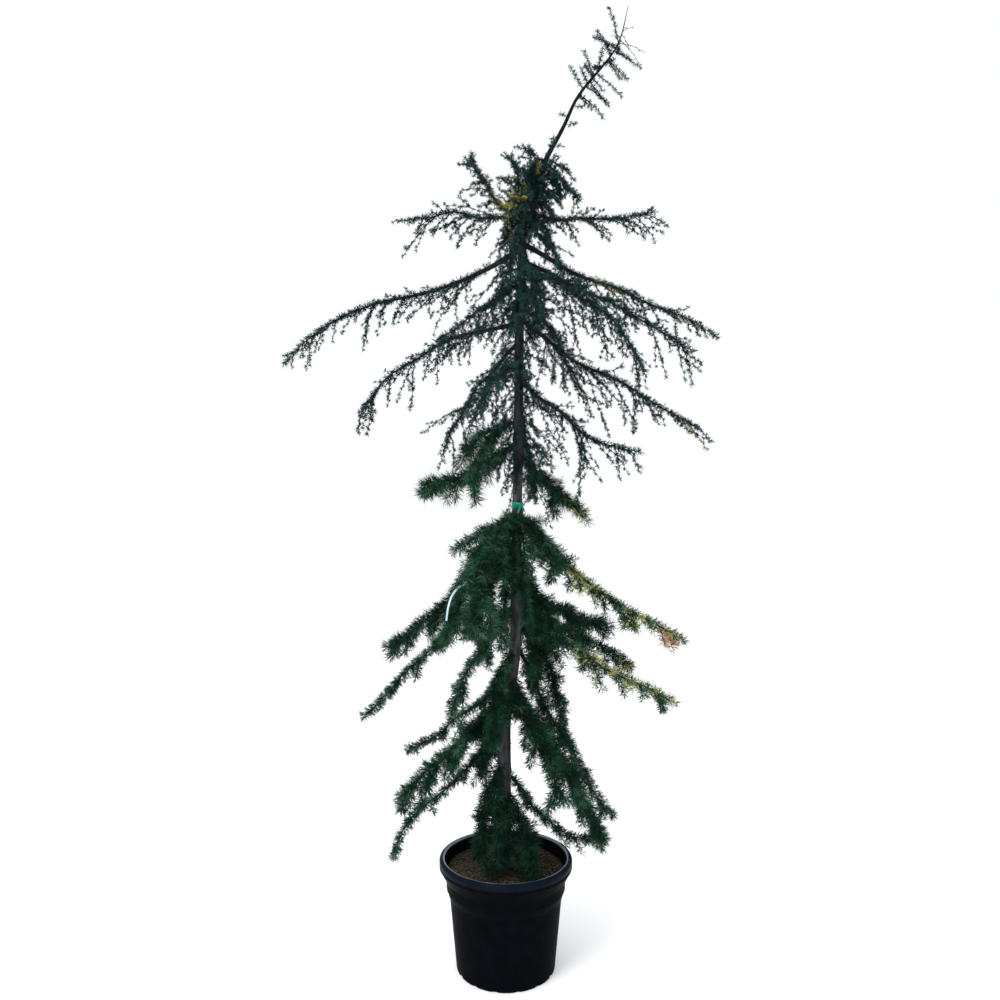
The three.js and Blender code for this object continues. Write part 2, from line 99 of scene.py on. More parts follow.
OPEN = Kind(3.4, 5, 115, 84, 0.4, 40, 2.6, 40, 6.5, 12, 29, 2.3, 0.95, 60, 28)
SLIM = Kind(2.4, 4, 85, 100, 0.3, 28, 2.4, 44, 6.0, 12, 26, 2.2, 1, 55, 32)
FINE = Kind(1.8, 4.6, 92, 28, 0.1, 76, 0.7, 200, 5.5, 12, 13, 2.0, 1, 72, 20)

Bough = namedtuple("Bough", "name height bearing reach fall leaves ends kind limb seed", defaults=(0, 0))

# Each bough's height and bearing on the trunk (0 right, 90 away, 180 left, 270 to the viewer), how far it
# reaches out and falls, the angles below level at which it leaves and ends, and its bare share, if any.
BOUGH_ROWS = [
    ("crown_left", 2270, 172, 170, -192, 0, -68, CREST),
    ("crown_peak", 2330, 140, 75, -140, -30, -70, CREST),
    ("crown_right", 2396, 338, 125, 105, 10, 58, CREST),
    ("crown_front", 2270, 282, 75, -125, -35, -60, CREST),
    ("skirt_front", 2215, 250, 120, 110, 5, 75, THIN),
    ("skirt_right", 2250, 312, 150, 190, 10, 72, THIN),
    ("left_1", 2248, 181, 350, 4, -2, 22, THIN),
    ("right_1", 2275, 5, 395, -14, 14, -12, THIN),
    ("left_2", 2173, 184, 710, 366, 42, 55, THIN, 0.14),
    ("right_2", 2179, 10, 626, 258, 30, 30, THIN, 0.14),
    ("right_3", 2088, 325, 405, 341, 15, 66, THIN),
    ("left_3", 2060, 214, 295, 212, 30, 34, THIN),
    ("right_4", 2128, 350, 499, 288, 28, 36, THIN),
    ("left_4", 1937, 176, 490, 271, 6, 60, THIN, 0.14),
    ("right_5", 1955, 4, 545, 329, 42, 34, THIN),
    ("left_5", 1816, 252, 330, 172, 15, 60, THIN),
    ("right_6", 1767, 332, 380, 230, 35, 4, THIN),
    ("left_6", 1585, 204, 300, 140, 42, 12, LUSH),
    ("right_7", 1555, 24, 215, 187, 48, 36, LUSH),
    ("left_7", 1359, 170, 406, 409, 50, 26, LUSH),
    ("left_8", 1352, 246, 305, 296, -2, 70, LUSH),
    ("left_9", 1312, 204, 232, 318, -4, 70, LUSH),
    ("right_8", 1368, 8, 525, 400, 53, 28, OPEN),
    ("left_10", 1235, 186, 458, 475, 46, 44, SLIM),
    ("right_9", 1180, 32, 335, 165, 45, 4, LUSH),
    ("right_10", 1100, 24, 415, 230, 42, 40, OPEN),
    ("right_11", 1062, 352, 473, 258, 34, 28, OPEN),
    ("right_12", 1070, 52, 274, 470, 42, 82, DRAPE),
    ("right_13", 975, 12, 316, 556, 62, 52, OPEN),
    ("left_11", 1090, 213, 225, 304, 40, 70, DRAPE),
    ("left_12", 885, 163, 341, 272, 45, 32, SLIM),
    ("right_14", 880, 300, 275, 304, 52, 56, LUSH),
    ("left_13", 828, 197, 332, 290, 48, 40, LUSH),
    ("left_14", 738, 181, 337, 417, 66, 80, SLIM),
    ("right_15", 588, 16, 315, 236, 52, -10, SLIM),
    ("right_16", 845, 352, 284, 452, 50, 64, LUSH),
    ("skirt_left", 960, 228, 112, 275, 35, 82, DRAPE),
    ("low_left", 620, 225, 112, 262, 45, 80, LUSH),
    ("low_front", 520, 306, 150, 186, 15, 55, LUSH),
    ("back_1", 2200, 102, 350, 120, 10, 45, THIN),
    ("back_2", 2060, 62, 440, 262, 20, 45, THIN),
    ("back_3", 1880, 124, 450, 290, 20, 50, THIN),
    ("back_4", 1680, 80, 390, 280, 25, 50, THIN),
    ("back_5", 1325, 114, 370, 390, 20, 58, LUSH),
    ("back_6", 1210, 76, 350, 420, 30, 62, LUSH),
    ("back_7", 900, 106, 340, 420, 40, 60, LUSH),
    ("front_1", 2100, 276, 370, 262, 5, 62, THIN),
    ("front_2", 1345, 300, 215, 140, 8, 56, LUSH),
    ("front_3", 1326, 281, 112, 268, 0, 84, DRAPE),
    ("front_4", 1232, 243, 105, 262, 20, 84, DRAPE),
    ("left_15", 1640, 160, 180, 75, 5, 30, LUSH),
    ("low_middle", 478, 262, 108, 148, 0, 62, LUSH),
]
BOUGHS = [Bough(*row)._replace(seed=seed) for seed, row in enumerate(BOUGH_ROWS, start=1)]

# The growth rule's numbers, as in the solids.
PULL, REACH_PER_RADIUS, LIMB_TAPER = 0.36, 90, 0.7
FIRST_SHOOT, LAST_SHOOT, AFTER_LIMB = 0.1, 0.96, 0.04
PLACE_FROM, PLACE_RANGE = 0.25, 0.5
ROLLS = (35, 55)
SPREAD_LEAST, SPREAD_RANGE = 0.8, 0.4
LENGTH_AT_ROOT, LENGTH_LOST = 1.15, 0.6
LENGTH_LEAST, LENGTH_RANGE, LENGTH_SKEW = 0.45, 1.05, 1.5
WEEP_LEAST, WEEP_RANGE = 0.3, 1.4
LEADER_SEED, LEADER_SHOOTS, LEADER_FROM, LEADER_TO = 99, 13, 0.04, 0.52
LEADER_TURN, LEADER_FLAT, LEADER_OPEN = 2.4, 0.4, 14
LEADER_PLACES, LEADER_LENGTHS = (0.3, 0.4), (0.7, 0.5)
SEEDS_EACH, SLIGHT_SEEDS = 1000, 500

# Tufts on a bough: how far apart on bare wood and elsewhere, the bare share by the trunk, and how far out.
ON_LIMB, ON_BOUGH, NEAR_TRUNK, WOOD_TO_TUFT = 1.1, 0.5, 0.08, 0.7

# The slight shoots between the main ones. Rising ones stay short. On THIN boughs they keep close and clump.
SLIGHT_SHARE, SLIGHT_LONGEST, SLIGHT_ROLLS, RISING_SHARE = 0.7, 0.72, (10, 140), 0.45
SLIGHT_SPREAD, SLIGHT_WEEP, CLUMPING, CLUMP_TURNS = 34, 0.35, 0.5, 3.6

# Heights of the tape, of the upper dark bark and of the leader's.
TIE_HEIGHT, DARK_FROM, LEADER_BARK_FROM = 1388, 1478, 2390

# A bough's wood: its share of the solids' radius, its fewest pieces, and its wander.
WOOD_AT_ROOT, WOOD_AT_TIP, FEWEST_PIECES = 0.8, 0.42, 12
SWAY, SWAY_FROM, SWAY_TO, SWAY_SKEW = 5.0, 9, 16, 0.7

# Twigs: a piece's length, the fewest pieces, how far each strays, and the radius by order.
STEP, FEWEST_STEPS, WANDER, TWIG_RADIUS = 11, 3, 0.06, {1: 1.7, 2: 1.1}
LOWER_STOUTER, TWIG_TAPER, THINNEST_TWIG, TWIG_SIDES = 1.3, 0.4, 0.5, 3

# A shoot's side twigs: from where to where, how far they stray and turn, and their size.
SIDE_FROM, SIDE_TO, SIDE_STRAY, SIDE_TURN = 0.7, 0.85, 6, 0.7
SIDE_SPREAD, SIDE_LENGTH, SHORTEST_SIDE = (0.7, 1.1), (0.4, 0.7), 14

# Tufts on a shoot: its bare foot, how far apart, the first one, how far they stray and how little they open,
# sizes against the kind's, how far roots scatter, and where a needle is tested against the trunk.
BARE_FOOT, TUFTS_APART, FIRST_TUFT, TUFT_STRAY, LEAST_OPEN = 0.05, (0.8, 1.3), 3, 0.3, 0.03
NEEDLE_LENGTHS, TUFT_LENGTHS, ROOT_SCATTER, TESTED_AT = (0.7, 1.1), (0.8, 1.1), 0.8, 0.6

# Short shoots on the trunk: lowest and highest root, how many, shortest, longest, and angles below level.
TRUNK_SHOOTS = [
    (1480, 1900, 40, 80, 150, -10, 40),
    (1925, 2112, 44, 70, 140, -10, 40),
    (2206, 2436, 78, 60, 130, -15, 40),
    (2300, 2430, 26, 45, 105, -75, -20),
    (2225, 2335, 24, 70, 118, -60, -12),
]
HANGING_WEEP, RISING_WEEP, BEARING_STRAY = 1.5, 0.3, 20
TRUNK_KIND = THIN._replace(spur=9.0, length=20)


def seeded(seed):
    """Repeatable random numbers from 0 to 1, as in the solids."""
    state = seed & 0xFFFFFFFF

    def draw():
        nonlocal state
        state = (state + 0x6D2B79F5) & 0xFFFFFFFF
        mixed = ((state ^ (state >> 15)) * (state | 1)) & 0xFFFFFFFF
        mixed ^= (mixed + (mixed ^ (mixed >> 7)) * (mixed | 61)) & 0xFFFFFFFF
        return ((mixed ^ (mixed >> 14)) & 0xFFFFFFFF) / 2**32

    return draw


def unit(vectors):
    return vectors / np.maximum(np.linalg.norm(vectors, axis=-1, keepdims=True), 1e-9)


# Shapes


def added(name, data):
    thing = bpy.data.objects.new(name, data)
    bpy.context.scene.collection.objects.link(thing)
    return thing


class Shape:
    """Points and triangles gathered from many small pieces into one mesh."""

    def __init__(self):
        self.points, self.faces, self.count = [], [], 0

    def add(self, points, faces):
        self.points.append(points)
        self.faces.append(faces + self.count)
        self.count += len(points)

    def as_object(self, name):
        """The mesh as an object of its own, in metres."""
        points = np.concatenate(self.points) * MM
        faces = np.concatenate(self.faces)
        mesh = bpy.data.meshes.new(name)
        mesh.from_pydata(points.tolist(), [], faces.tolist())
        mesh.shade_smooth()
        return added(name, mesh)

    def place(self, name, material, slot, *replaced):
        """The mesh as a piece of the plant that stands for the named nodes."""
        piece = self.as_object(name)
        piece.data.materials.append(material)
        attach(piece, "root")
        if replaced:
            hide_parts(*replaced)
        return piece


def across(tangents):
    """Two directions across each tangent, steady along the path."""
    helper = np.eye(3)[np.abs(tangents).max(axis=0).argmin()]
    side = unit(np.cross(helper, tangents))
    return side, np.cross(tangents, side)


def tangents_of(path):
    return unit(np.gradient(path, axis=0))


def arc_lengths(path):
    steps = np.linalg.norm(np.diff(path, axis=0), axis=1)
    return np.concatenate([[0], np.cumsum(steps)])


def along_path(places, along, values):
    """The path's values at places on it."""
    return np.stack([np.interp(places, along, values[:, k]) for k in range(3)], -1)


def angles(sides):
    return np.arange(sides) * TAU / sides


def spokes(path, sides):
    """Directions from a path's points out to the rings round them."""
    side, lift = across(tangents_of(path))
    angle = angles(sides)
    return np.cos(angle)[None, :, None] * side[:, None] + np.sin(angle)[None, :, None] * lift[:, None]


def skin(rings):
    """A closed skin over rings of points, with a cap on the first and the last."""
    count, sides = rings.shape[:2]
    k = np.arange(sides)
    a = (np.arange(count - 1)[:, None] * sides + k).ravel()
    b = (np.arange(count - 1)[:, None] * sides + (k + 1) % sides).ravel()
    walls = np.concatenate([np.stack([a, b, b + sides], 1), np.stack([a, b + sides, a + sides], 1)])
    first, last = count * sides, (count - 1) * sides
    foot = np.stack([np.full(sides, first), (k + 1) % sides, k], 1)
    top = np.stack([np.full(sides, first + 1), last + k, last + (k + 1) % sides], 1)
    middles = np.stack([rings[0].mean(axis=0), rings[-1].mean(axis=0)])
    return np.concatenate([rings.reshape(-1, 3), middles]), np.concatenate([walls, foot, top])


def tube(path, radii, sides):
    """A round limb with closed ends. radii has one for each ring, or one for each point."""
    radii = np.asarray(radii, float).reshape(len(path), -1)
    return skin(path[:, None] + spokes(path, sides) * radii[:, :, None])


def strip(path, facing, width, thick):
    """A flat band along a path, with its broad side towards facing."""
    tangent = tangents_of(path)
    facing = unit(facing - tangent * np.sum(facing * tangent, axis=1, keepdims=True))
    side = np.cross(tangent, facing) * (width / 2)
    lift = facing * (thick / 2)
    return skin(np.stack([path + side - lift, path + side + lift, path - side + lift, path - side - lift], 1))


def turned(profile, sides, radius_scale=None):
    """A solid turned about Z, from radii and heights that start and end there."""
    inner = np.array(profile[1:-1], float)
    angle = angles(sides)
    radii = np.repeat(inner[:, :1], sides, 1)
    heights = np.repeat(inner[:, 1:], sides, 1)
    if radius_scale is not None:
        radii = radii * radius_scale(heights, angle[None])
    points, faces = skin(np.stack([radii * np.cos(angle), radii * np.sin(angle), heights], -1))
    points[-2:, 2] = profile[0][1], profile[-1][1]
    return points, faces


NOISE_CELLS = 256


def value_noise(u, v, seed, wrap=NOISE_CELLS):
    """Smooth random relief from -1 to 1 over two coordinates. u repeats after wrap cells."""
    cells = np.random.default_rng(seed).uniform(-1, 1, (NOISE_CELLS, NOISE_CELLS))
    low_u, low_v = np.floor(u).astype(int), np.floor(v).astype(int)
    part_u, part_v = u - low_u, v - low_v
    part_u = part_u * part_u * (3 - 2 * part_u)
    part_v = part_v * part_v * (3 - 2 * part_v)
    u0, u1 = low_u % wrap, (low_u + 1) % wrap
    v0, v1 = low_v % NOISE_CELLS, (low_v + 1) % NOISE_CELLS
    near = cells[u0, v0] * (1 - part_u) + cells[u1, v0] * part_u
    far = cells[u0, v1] * (1 - part_u) + cells[u1, v1] * part_u
    return near * (1 - part_v) + far * part_v


# Materials


def shade(colour, factor):
    return tuple(c * factor for c in colour)


def set_inputs(node, values):
    for name, value in values.items():
        node.inputs[name].default_value = value
    return node


def speckled(name, dark, light, scale, roughness=0.6, specular=0.2, stretch=(1, 1, 1), bump=0.0, depth=1.0):
    """A material that wanders between two shades over noise, with a bump of the same grain."""
    material = bpy.data.materials.new(name)
    material.use_nodes = True
    tree = material.node_tree
    add, link = tree.nodes.new, tree.links.new
    gloss = {"Roughness": roughness, "Specular IOR Level": specular}
    shader = set_inputs(tree.nodes["Principled BSDF"], gloss)
    place = add("ShaderNodeTexCoord")
    scaled = set_inputs(add("ShaderNodeMapping"), {"Scale": stretch})
    noise = set_inputs(add("ShaderNodeTexNoise"), {"Scale": scale, "Detail": 4})
    ramp = add("ShaderNodeValToRGB")
    stops = ramp.color_ramp.elements
    stops[0].position, stops[0].color = 0.35, (*dark, 1)
    stops[1].position, stops[1].color = 0.68, (*light, 1)
    link(place.outputs["Object"], scaled.inputs["Vector"])
    link(scaled.outputs["Vector"], noise.inputs["Vector"])
    link(noise.outputs["Fac"], ramp.inputs["Fac"])
    link(ramp.outputs["Color"], shader.inputs["Base Color"])
    if bump:
        relief = set_inputs(add("ShaderNodeBump"), {"Strength": bump, "Distance": depth * MM})
        link(noise.outputs["Fac"], relief.inputs["Height"])
        link(relief.outputs["Normal"], shader.inputs["Normal"])
    return material


# Tones of needle. Each tuft has one of them. The darkest tone of each part, shade above and shadow below, is
# painted shade among the needles, and the pale green after green is a painted highlight.
TONES = {
    "shade": (0.005, 0.017, 0.018),
    "blue": (0.014, 0.048, 0.047),
    "olive": (0.04, 0.048, 0.014),
    "golden": (0.23, 0.215, 0.055),
    "shadow": (0.004, 0.014, 0.01),
    "deep": (0.008, 0.031, 0.019),
    "green": (0.011, 0.058, 0.031),
    # a paler copy of green: a painted highlight on lit needle tips
    "fresh": (0.047, 0.115, 0.07),
    "yellow": (0.4, 0.4, 0.14),
    "rust": (0.42, 0.26, 0.15),
}

# The share of each tone in a spray.
DARK_SPRAY = {"shade": 0.65, "blue": 0.35}
TEAL_SPRAY = {"shade": 0.25, "blue": 0.75}
OLIVE_SPRAY = {"shade": 0.3, "blue": 0.25, "olive": 0.45}
SUNNED_SPRAY = {"shade": 0.15, "blue": 0.2, "olive": 0.35, "golden": 0.3}
# The darkest spray paints shade into the clump over the pot, under the crown.
SHADED_SPRAY = {"shadow": 0.6, "deep": 0.4}
# The dim spray paints shade and the lit spray paints light into the needles, by where a spray lies.
DIM_SPRAY = {"shadow": 0.25, "deep": 0.55, "green": 0.2}
GREEN_SPRAY = {"shadow": 0.08, "deep": 0.34, "green": 0.46, "fresh": 0.12}
LIT_SPRAY = {"deep": 0.15, "green": 0.5, "fresh": 0.35}
YELLOW_SPRAY = {"deep": 0.1, "green": 0.25, "fresh": 0.25, "yellow": 0.4}
RUST_SPRAY = {"green": 0.2, "rust": 0.8}

# The wood

WHOLE_TRUNK = np.array([*TRUNK, LEADER_TIP, LEADER_WISP], float)

# The trunk's bark: sides, a ring's height above and below the root flare's top, the thinnest radius, relief
# and slow swell, the swell's length, and the radius that ridges are counted by.
TRUNK_SIDES, RING, FLARE_RING, FLARE_TOP = 32, 6, 4, 480
THINNEST, RELIEF, SWELL, SWELL_LENGTH, BARK_RADIUS = 0.6, 0.07, 0.05, 90, 14

# Relief of bark: ridges for each millimetre of radius, the fewest, how much finer others are, and cracks.
RIDGES_PER_RADIUS, FEWEST_RIDGES, FINER_RIDGES, CRACKS = 0.9, 6, 3, 4
RIDGE_LENGTH, FINE_LENGTH, CRACK_LENGTH = 55, 14, 7
RIDGE_SHARE, FINE_SHARE, CRACK_SHARE = 0.5, 0.3, 0.2

# The collar under each bough: how far below its middle, how tall, its angle and how far out.
COLLAR_DROP, COLLAR_ROOM, COLLAR_BELOW, COLLAR_OUT = 6, 16, 20, 0.4


def trunk_at(heights):
    """The trunk's middles and radii at heights, as in the solids."""
    z = WHOLE_TRUNK[:, 0]
    x, y, r = (np.interp(heights, z, WHOLE_TRUNK[:, k]) for k in (1, 2, 3))
    return np.stack([x, y, heights], -1), r


def smooth_trunk(heights):
    """The trunk's middles and radii at heights, with its bends rounded."""
    z, values = WHOLE_TRUNK[:, 0], WHOLE_TRUNK[:, 1:]
    slopes = np.gradient(values, z, axis=0)
    i = np.clip(np.searchsorted(z, heights, side="right") - 1, 0, len(z) - 2)
    span = (z[i + 1] - z[i])[:, None]
    t = (heights - z[i])[:, None] / span
    curve = (
        values[i] * (1 + 2 * t) * (1 - t) ** 2
        + slopes[i] * span * t * (1 - t) ** 2
        + values[i + 1] * t * t * (3 - 2 * t)
        + slopes[i + 1] * span * t * t * (t - 1)
    )
    return np.stack([curve[:, 0], curve[:, 1], heights], 1), curve[:, 2:]


def heading(bearing, below):
    b, e = math.radians(bearing), math.radians(below)
    return np.array([math.cos(b) * math.cos(e), math.sin(b) * math.cos(e), -math.sin(e)])


def bough_controls(bough):
    """The four points of a bough's curve, from the trunk's middle to its tip."""
    start = trunk_at(bough.height)[0]
    tip = start + heading(bough.bearing, 0) * bough.reach + DOWN * bough.fall
    pull = np.linalg.norm(tip - start) * PULL
    leaving = start + heading(bough.bearing, bough.leaves) * pull
    arriving = tip - heading(bough.bearing, bough.ends) * pull
    return np.array([start, leaving, arriving, tip])


def on_curve(controls, t):
    t = np.asarray(t, float)[..., None]
    a, b, c, d = controls
    return a * (1 - t) ** 3 + 3 * b * t * (1 - t) ** 2 + 3 * c * t * t * (1 - t) + d * t**3


def curve_direction(controls, t):
    a, b, c, d = controls
    return unit((b - a) * (1 - t) ** 2 + 2 * (c - b) * t * (1 - t) + (d - c) * t * t)


def bough_radius(bough, t):
    root = bough.kind.stem + bough.reach / REACH_PER_RADIUS
    return root + (bough.kind.twig - root) * np.power(t, LIMB_TAPER)


def bark_relief(angle, along, radius, seed):
    """Ridges that run along the wood, broken by shallow cross cracks."""
    turns = np.maximum(FEWEST_RIDGES, int(radius * RIDGES_PER_RADIUS))
    many = turns * FINER_RIDGES
    ridges = value_noise(angle / TAU * turns, along / RIDGE_LENGTH, seed, turns)
    fine = value_noise(angle / TAU * many, along / FINE_LENGTH, seed + 1, many)
    cracks = value_noise(angle / TAU * CRACKS, along / CRACK_LENGTH, seed + 2, CRACKS)
    return RIDGE_SHARE * ridges + FINE_SHARE * fine + CRACK_SHARE * cracks


def trunk_shape(low, high):
    """The trunk or leader between two heights, with a collar under each bough."""
    flare = np.arange(low, FLARE_TOP, FLARE_RING)
    heights = np.concatenate([flare, np.arange(max(low, FLARE_TOP), high, RING), [high]])
    path, radii = smooth_trunk(heights)
    relief = bark_relief(angles(TRUNK_SIDES)[None], heights[:, None], BARK_RADIUS, seed=11)
    swell = 1 + SWELL * value_noise(np.zeros_like(heights), heights / SWELL_LENGTH, seed=14)[:, None]
    wall = np.maximum(radii, THINNEST) * swell * (1 + RELIEF * relief)
    out = spokes(path, TRUNK_SIDES)
    for bough in BOUGHS:
        facing = out @ heading(bough.bearing, COLLAR_BELOW)
        near = np.exp(-(((heights - bough.height + COLLAR_DROP) / COLLAR_ROOM) ** 2))[:, None]
        wall = wall + near * np.clip(facing, 0, 1) ** 3 * bough_radius(bough, 0) * COLLAR_OUT
    shape = Shape()
    shape.add(*tube(path, wall, TRUNK_SIDES))
    return shape


def bough_wood(bough):
    """A bough's path and radii: the solids' curve with a slight wander."""
    controls = bough_controls(bough)
    rng = np.random.default_rng(bough.seed)
    count = max(FEWEST_PIECES, int(np.linalg.norm(controls[3] - controls[0]) / STEP))
    t = np.linspace(0, 1, count + 1)
    path = on_curve(controls, t)
    sway = np.sin(t[:, None] * rng.uniform(SWAY_FROM, SWAY_TO, 3) + rng.uniform(0, TAU, 3))
    path = path + sway * (SWAY * np.sin(math.pi * t) ** SWAY_SKEW)[:, None]
    return t, path, bough_radius(bough, t) * (WOOD_AT_ROOT + (WOOD_AT_TIP - WOOD_AT_ROOT) * t)


def clear_of_trunk(points, room):
    """True for each point that lies further than room outside the trunk."""
    middles, radii = trunk_at(points[..., 2])
    return np.hypot(points[..., 0] - middles[..., 0], points[..., 1] - middles[..., 1]) > radii + room


# Shoots

SPARE = 8  # how far out of the solids' box a shoot may grow
SPACE = np.array(cad_box) / MM + np.array([[-SPARE], [SPARE]])


def in_space(path):
    """True if a path stays in the solids' room."""
    return bool(((path > SPACE[0]) & (path < SPACE[1])).all())


def grown(point, direction, length, weep, rng):
    """A shoot's path: it bends down a little more at each step, and wanders."""
    steps = max(FEWEST_STEPS, int(length / STEP))
    path = [point]
    for _ in range(steps):
        direction = unit(direction + DOWN * (weep / steps) + rng.normal(0, WANDER, 3))
        path.append(path[-1] + direction * (length / steps))
    return np.array(path)


def side_shoot(bough, controls, index, count, seed, rolls=ROLLS):
    """A side shoot's place, direction, length, weep and roll, by the solids' rule."""
    kind = bough.kind
    draw = seeded(seed)
    first = max(bough.limb + AFTER_LIMB, FIRST_SHOOT)
    t = first + (LAST_SHOOT - first) * (index + PLACE_FROM + PLACE_RANGE * draw()) / count
    tangent = curve_direction(controls, t)
    sideways = unit(np.cross(tangent, UP))
    under = unit(np.cross(tangent, sideways))
    hand = 1 if index % 2 == 0 else -1
    roll = rolls[0] + rolls[1] * draw()
    spread = math.radians(kind.spread * (SPREAD_LEAST + SPREAD_RANGE * draw()))
    direction = (
        tangent * math.cos(spread)
        + sideways * (hand * math.sin(math.radians(roll)) * math.sin(spread))
        + under * (math.cos(math.radians(roll)) * math.sin(spread))
    )
    share = LENGTH_LEAST + LENGTH_RANGE * draw() ** LENGTH_SKEW
    length = kind.shoot * (LENGTH_AT_ROOT - LENGTH_LOST * t) * share
    weep = kind.weep * (WEEP_LEAST + WEEP_RANGE * draw())
    return t, direction, length, weep, roll


twigs, needles = {}, {}  # of the whole plant, by part of the crown and by tone


def add_twig(part, path, radius):
    shape = twigs.setdefault(part, Shape())
    tip = max(THINNEST_TWIG, radius * TWIG_TAPER)
    shape.add(*tube(path, np.linspace(radius, tip, len(path)), TWIG_SIDES))


def add_tufts(part, spray, path, kind, rng, bare=0.0, apart=1.0, size=1.0, wood=0.0):
    """Needles in tufts round a twig, from a bare share of its length to its tip."""
    along = arc_lengths(path)
    reach = along[-1]
    pitch = kind.spur * apart
    places = np.arange(max(bare * reach, FIRST_TUFT), reach + pitch / 2, pitch)
    if not len(places):
        return
    places = np.clip(places + rng.uniform(-TUFT_STRAY, TUFT_STRAY, len(places)) * pitch, 0, reach)
    roots = along_path(places, along, path)
    tangents = unit(along_path(places, along, tangents_of(path)))
    side, lift = across(tangents)
    turn = np.arange(len(places)) * GOLDEN_TURN + rng.uniform(0, TAU)
    out = np.cos(turn)[:, None] * side + np.sin(turn)[:, None] * lift
    lean = math.radians(kind.lean)
    axis = unit(out * math.cos(lean) + tangents * math.sin(lean))
    roots = roots + axis * np.interp(places, along, np.broadcast_to(wood, along.shape))[:, None]
    shape = (len(places), kind.tuft)
    spin = rng.uniform(0, TAU, shape)[..., None]
    opened = math.radians(kind.fan) * np.sqrt(rng.uniform(LEAST_OPEN, 1, shape))[..., None]
    first, second = across(axis)
    ring = np.cos(spin) * first[:, None] + np.sin(spin) * second[:, None]
    directions = unit(np.cos(opened) * axis[:, None] + np.sin(opened) * ring)
    lengths = kind.length * size * rng.uniform(*NEEDLE_LENGTHS, shape)
    lengths = lengths * rng.uniform(*TUFT_LENGTHS, (len(places), 1))
    starts = np.repeat(roots[:, None], kind.tuft, 1) + rng.normal(0, ROOT_SCATTER, (*shape, 3))
    kept = clear_of_trunk(starts + directions * lengths[..., None] * TESTED_AT, 0)
    tones = rng.choice(list(spray), len(places), p=list(spray.values())).astype(object)
    if part == "upper":
        for middle, room, share in GOLDEN_PLACES:
            inside = np.linalg.norm((roots - middle) / room, axis=1) < 1
            tones[inside & (rng.random(len(places)) < share)] = "golden"
    for tone in np.unique(tones):
        chosen = kept & (tones == tone)[:, None]
        needles.setdefault((part, tone), []).append(
            (starts[chosen], directions[chosen], lengths[chosen], kind.width)
        )


WIDEST_AT = 0.45  # the share of its length where a needle is widest
FOLD = math.radians(125)  # the angle between a needle's two wings


def needle_mesh(groups, rng):
    """Each needle as a slim blade, folded along its middle."""
    shape = Shape()
    for starts, directions, lengths, width in groups:
        if not len(starts):
            continue
        first, second = across(directions)
        spin = rng.uniform(0, TAU, len(starts))[:, None]
        middle = starts + directions * (lengths * WIDEST_AT)[:, None]
        wings = [middle + (first * np.cos(a) + second * np.sin(a)) * width / 2 for a in (spin, spin + FOLD)]
        tips = starts + directions * lengths[:, None]
        points = np.stack([starts, wings[0], tips, wings[1]], 1).reshape(-1, 3)
        base = np.arange(0, len(points), 4)[:, None, None]
        faces = base + np.array([[0, 1, 2], [0, 2, 3]])[None]
        shape.add(points, faces.reshape(-1, 3))
    return shape


UPPER_FROM = 1650  # boughs from above this height have the darker, shorter needles
RUST_FROM = 0.86

# The share of the darkest sprays, painted shade in the clump over the pot, of dark ones in the upper part,
# and of lit and dim ones, painted light and painted shade.
SHADED_SHARES = {"low_left": 0.3, "low_middle": 0.6, "low_front": 0.6}
DARK_SHARE, LIT_FURTHER_OUT = 0.45, 0.25
LIT_AND_DIM = {"bright": (0.45, 0.1), "plain": (0.12, 0.28)}

# Where tufts have turned golden: middle, half widths and share.
GOLDEN_PLACES = [
    ((14, -40, 2300), (56, 110, 66), 0.32),
    ((-55, 0, 2330), (50, 110, 60), 0.1),
    ((104, 0, 2372), (26, 110, 26), 0.12),
    ((195, 0, 2268), (44, 110, 24), 0.22),
    ((20, 0, 2195), (30, 90, 26), 0.16),
    ((285, 60, 2045), (70, 140, 40), 0.14),
]

# How far out on the upper boughs some sprays have turned, their share and their mix.
TURNED_FROM = {
    "crown_left": (0, 0.3, OLIVE_SPRAY),
    "right_1": (0, 0.3, OLIVE_SPRAY),
    "right_2": (0.4, 0.4, OLIVE_SPRAY),
    "right_4": (0, 0.3, OLIVE_SPRAY),
    "left_2": (0.84, 0.7, SUNNED_SPRAY),
    "right_5": (0.78, 0.6, SUNNED_SPRAY),
}

# From where to where the lower boughs in the sun yellow, and in what share of the sprays.
YELLOW_SPAN = {
    "right_7": (0.62, 1, 0.5),
    "right_8": (0.16, 1, 0.62),
    "right_10": (0.4, 1, 0.6),
    "right_11": (0.35, 0.8, 0.55),
}

# Boughs that lie open to the light, whose sprays are more often lit and less often dim: painted light.
BRIGHT_BOUGHS = ("left_6", "right_7", "left_8", "left_9", "right_8", "front_2", "front_3")


def part_of(bough):
    return "upper" if bough.height > UPPER_FROM else "lower"


def spray_for(part, name, t, rng):
    """A spray's mix of tones, by its place in the crown. Lower down, lit sprays further out and on open
    boughs are painted light, and dim and darkest ones painted shade.
    """
    pick = rng.random()
    if part == "upper":
        start, share, turned = TURNED_FROM.get(name, (1, 0, None))
        if t > start and pick < share:
            return turned
        return DARK_SPRAY if pick < DARK_SHARE else TEAL_SPRAY
    if name == "right_8" and t > RUST_FROM:
        return RUST_SPRAY
    if name in SHADED_SHARES:
        return SHADED_SPRAY if pick < SHADED_SHARES[name] else DIM_SPRAY
    start, stop, share = YELLOW_SPAN.get(name, (1, 1, 0))
    if start < t < stop and pick < share:
        return YELLOW_SPRAY
    lit, dim = LIT_AND_DIM["bright" if name in BRIGHT_BOUGHS else "plain"]
    return LIT_SPRAY if pick < lit + LIT_FURTHER_OUT * t else DIM_SPRAY if pick > 1 - dim else GREEN_SPRAY


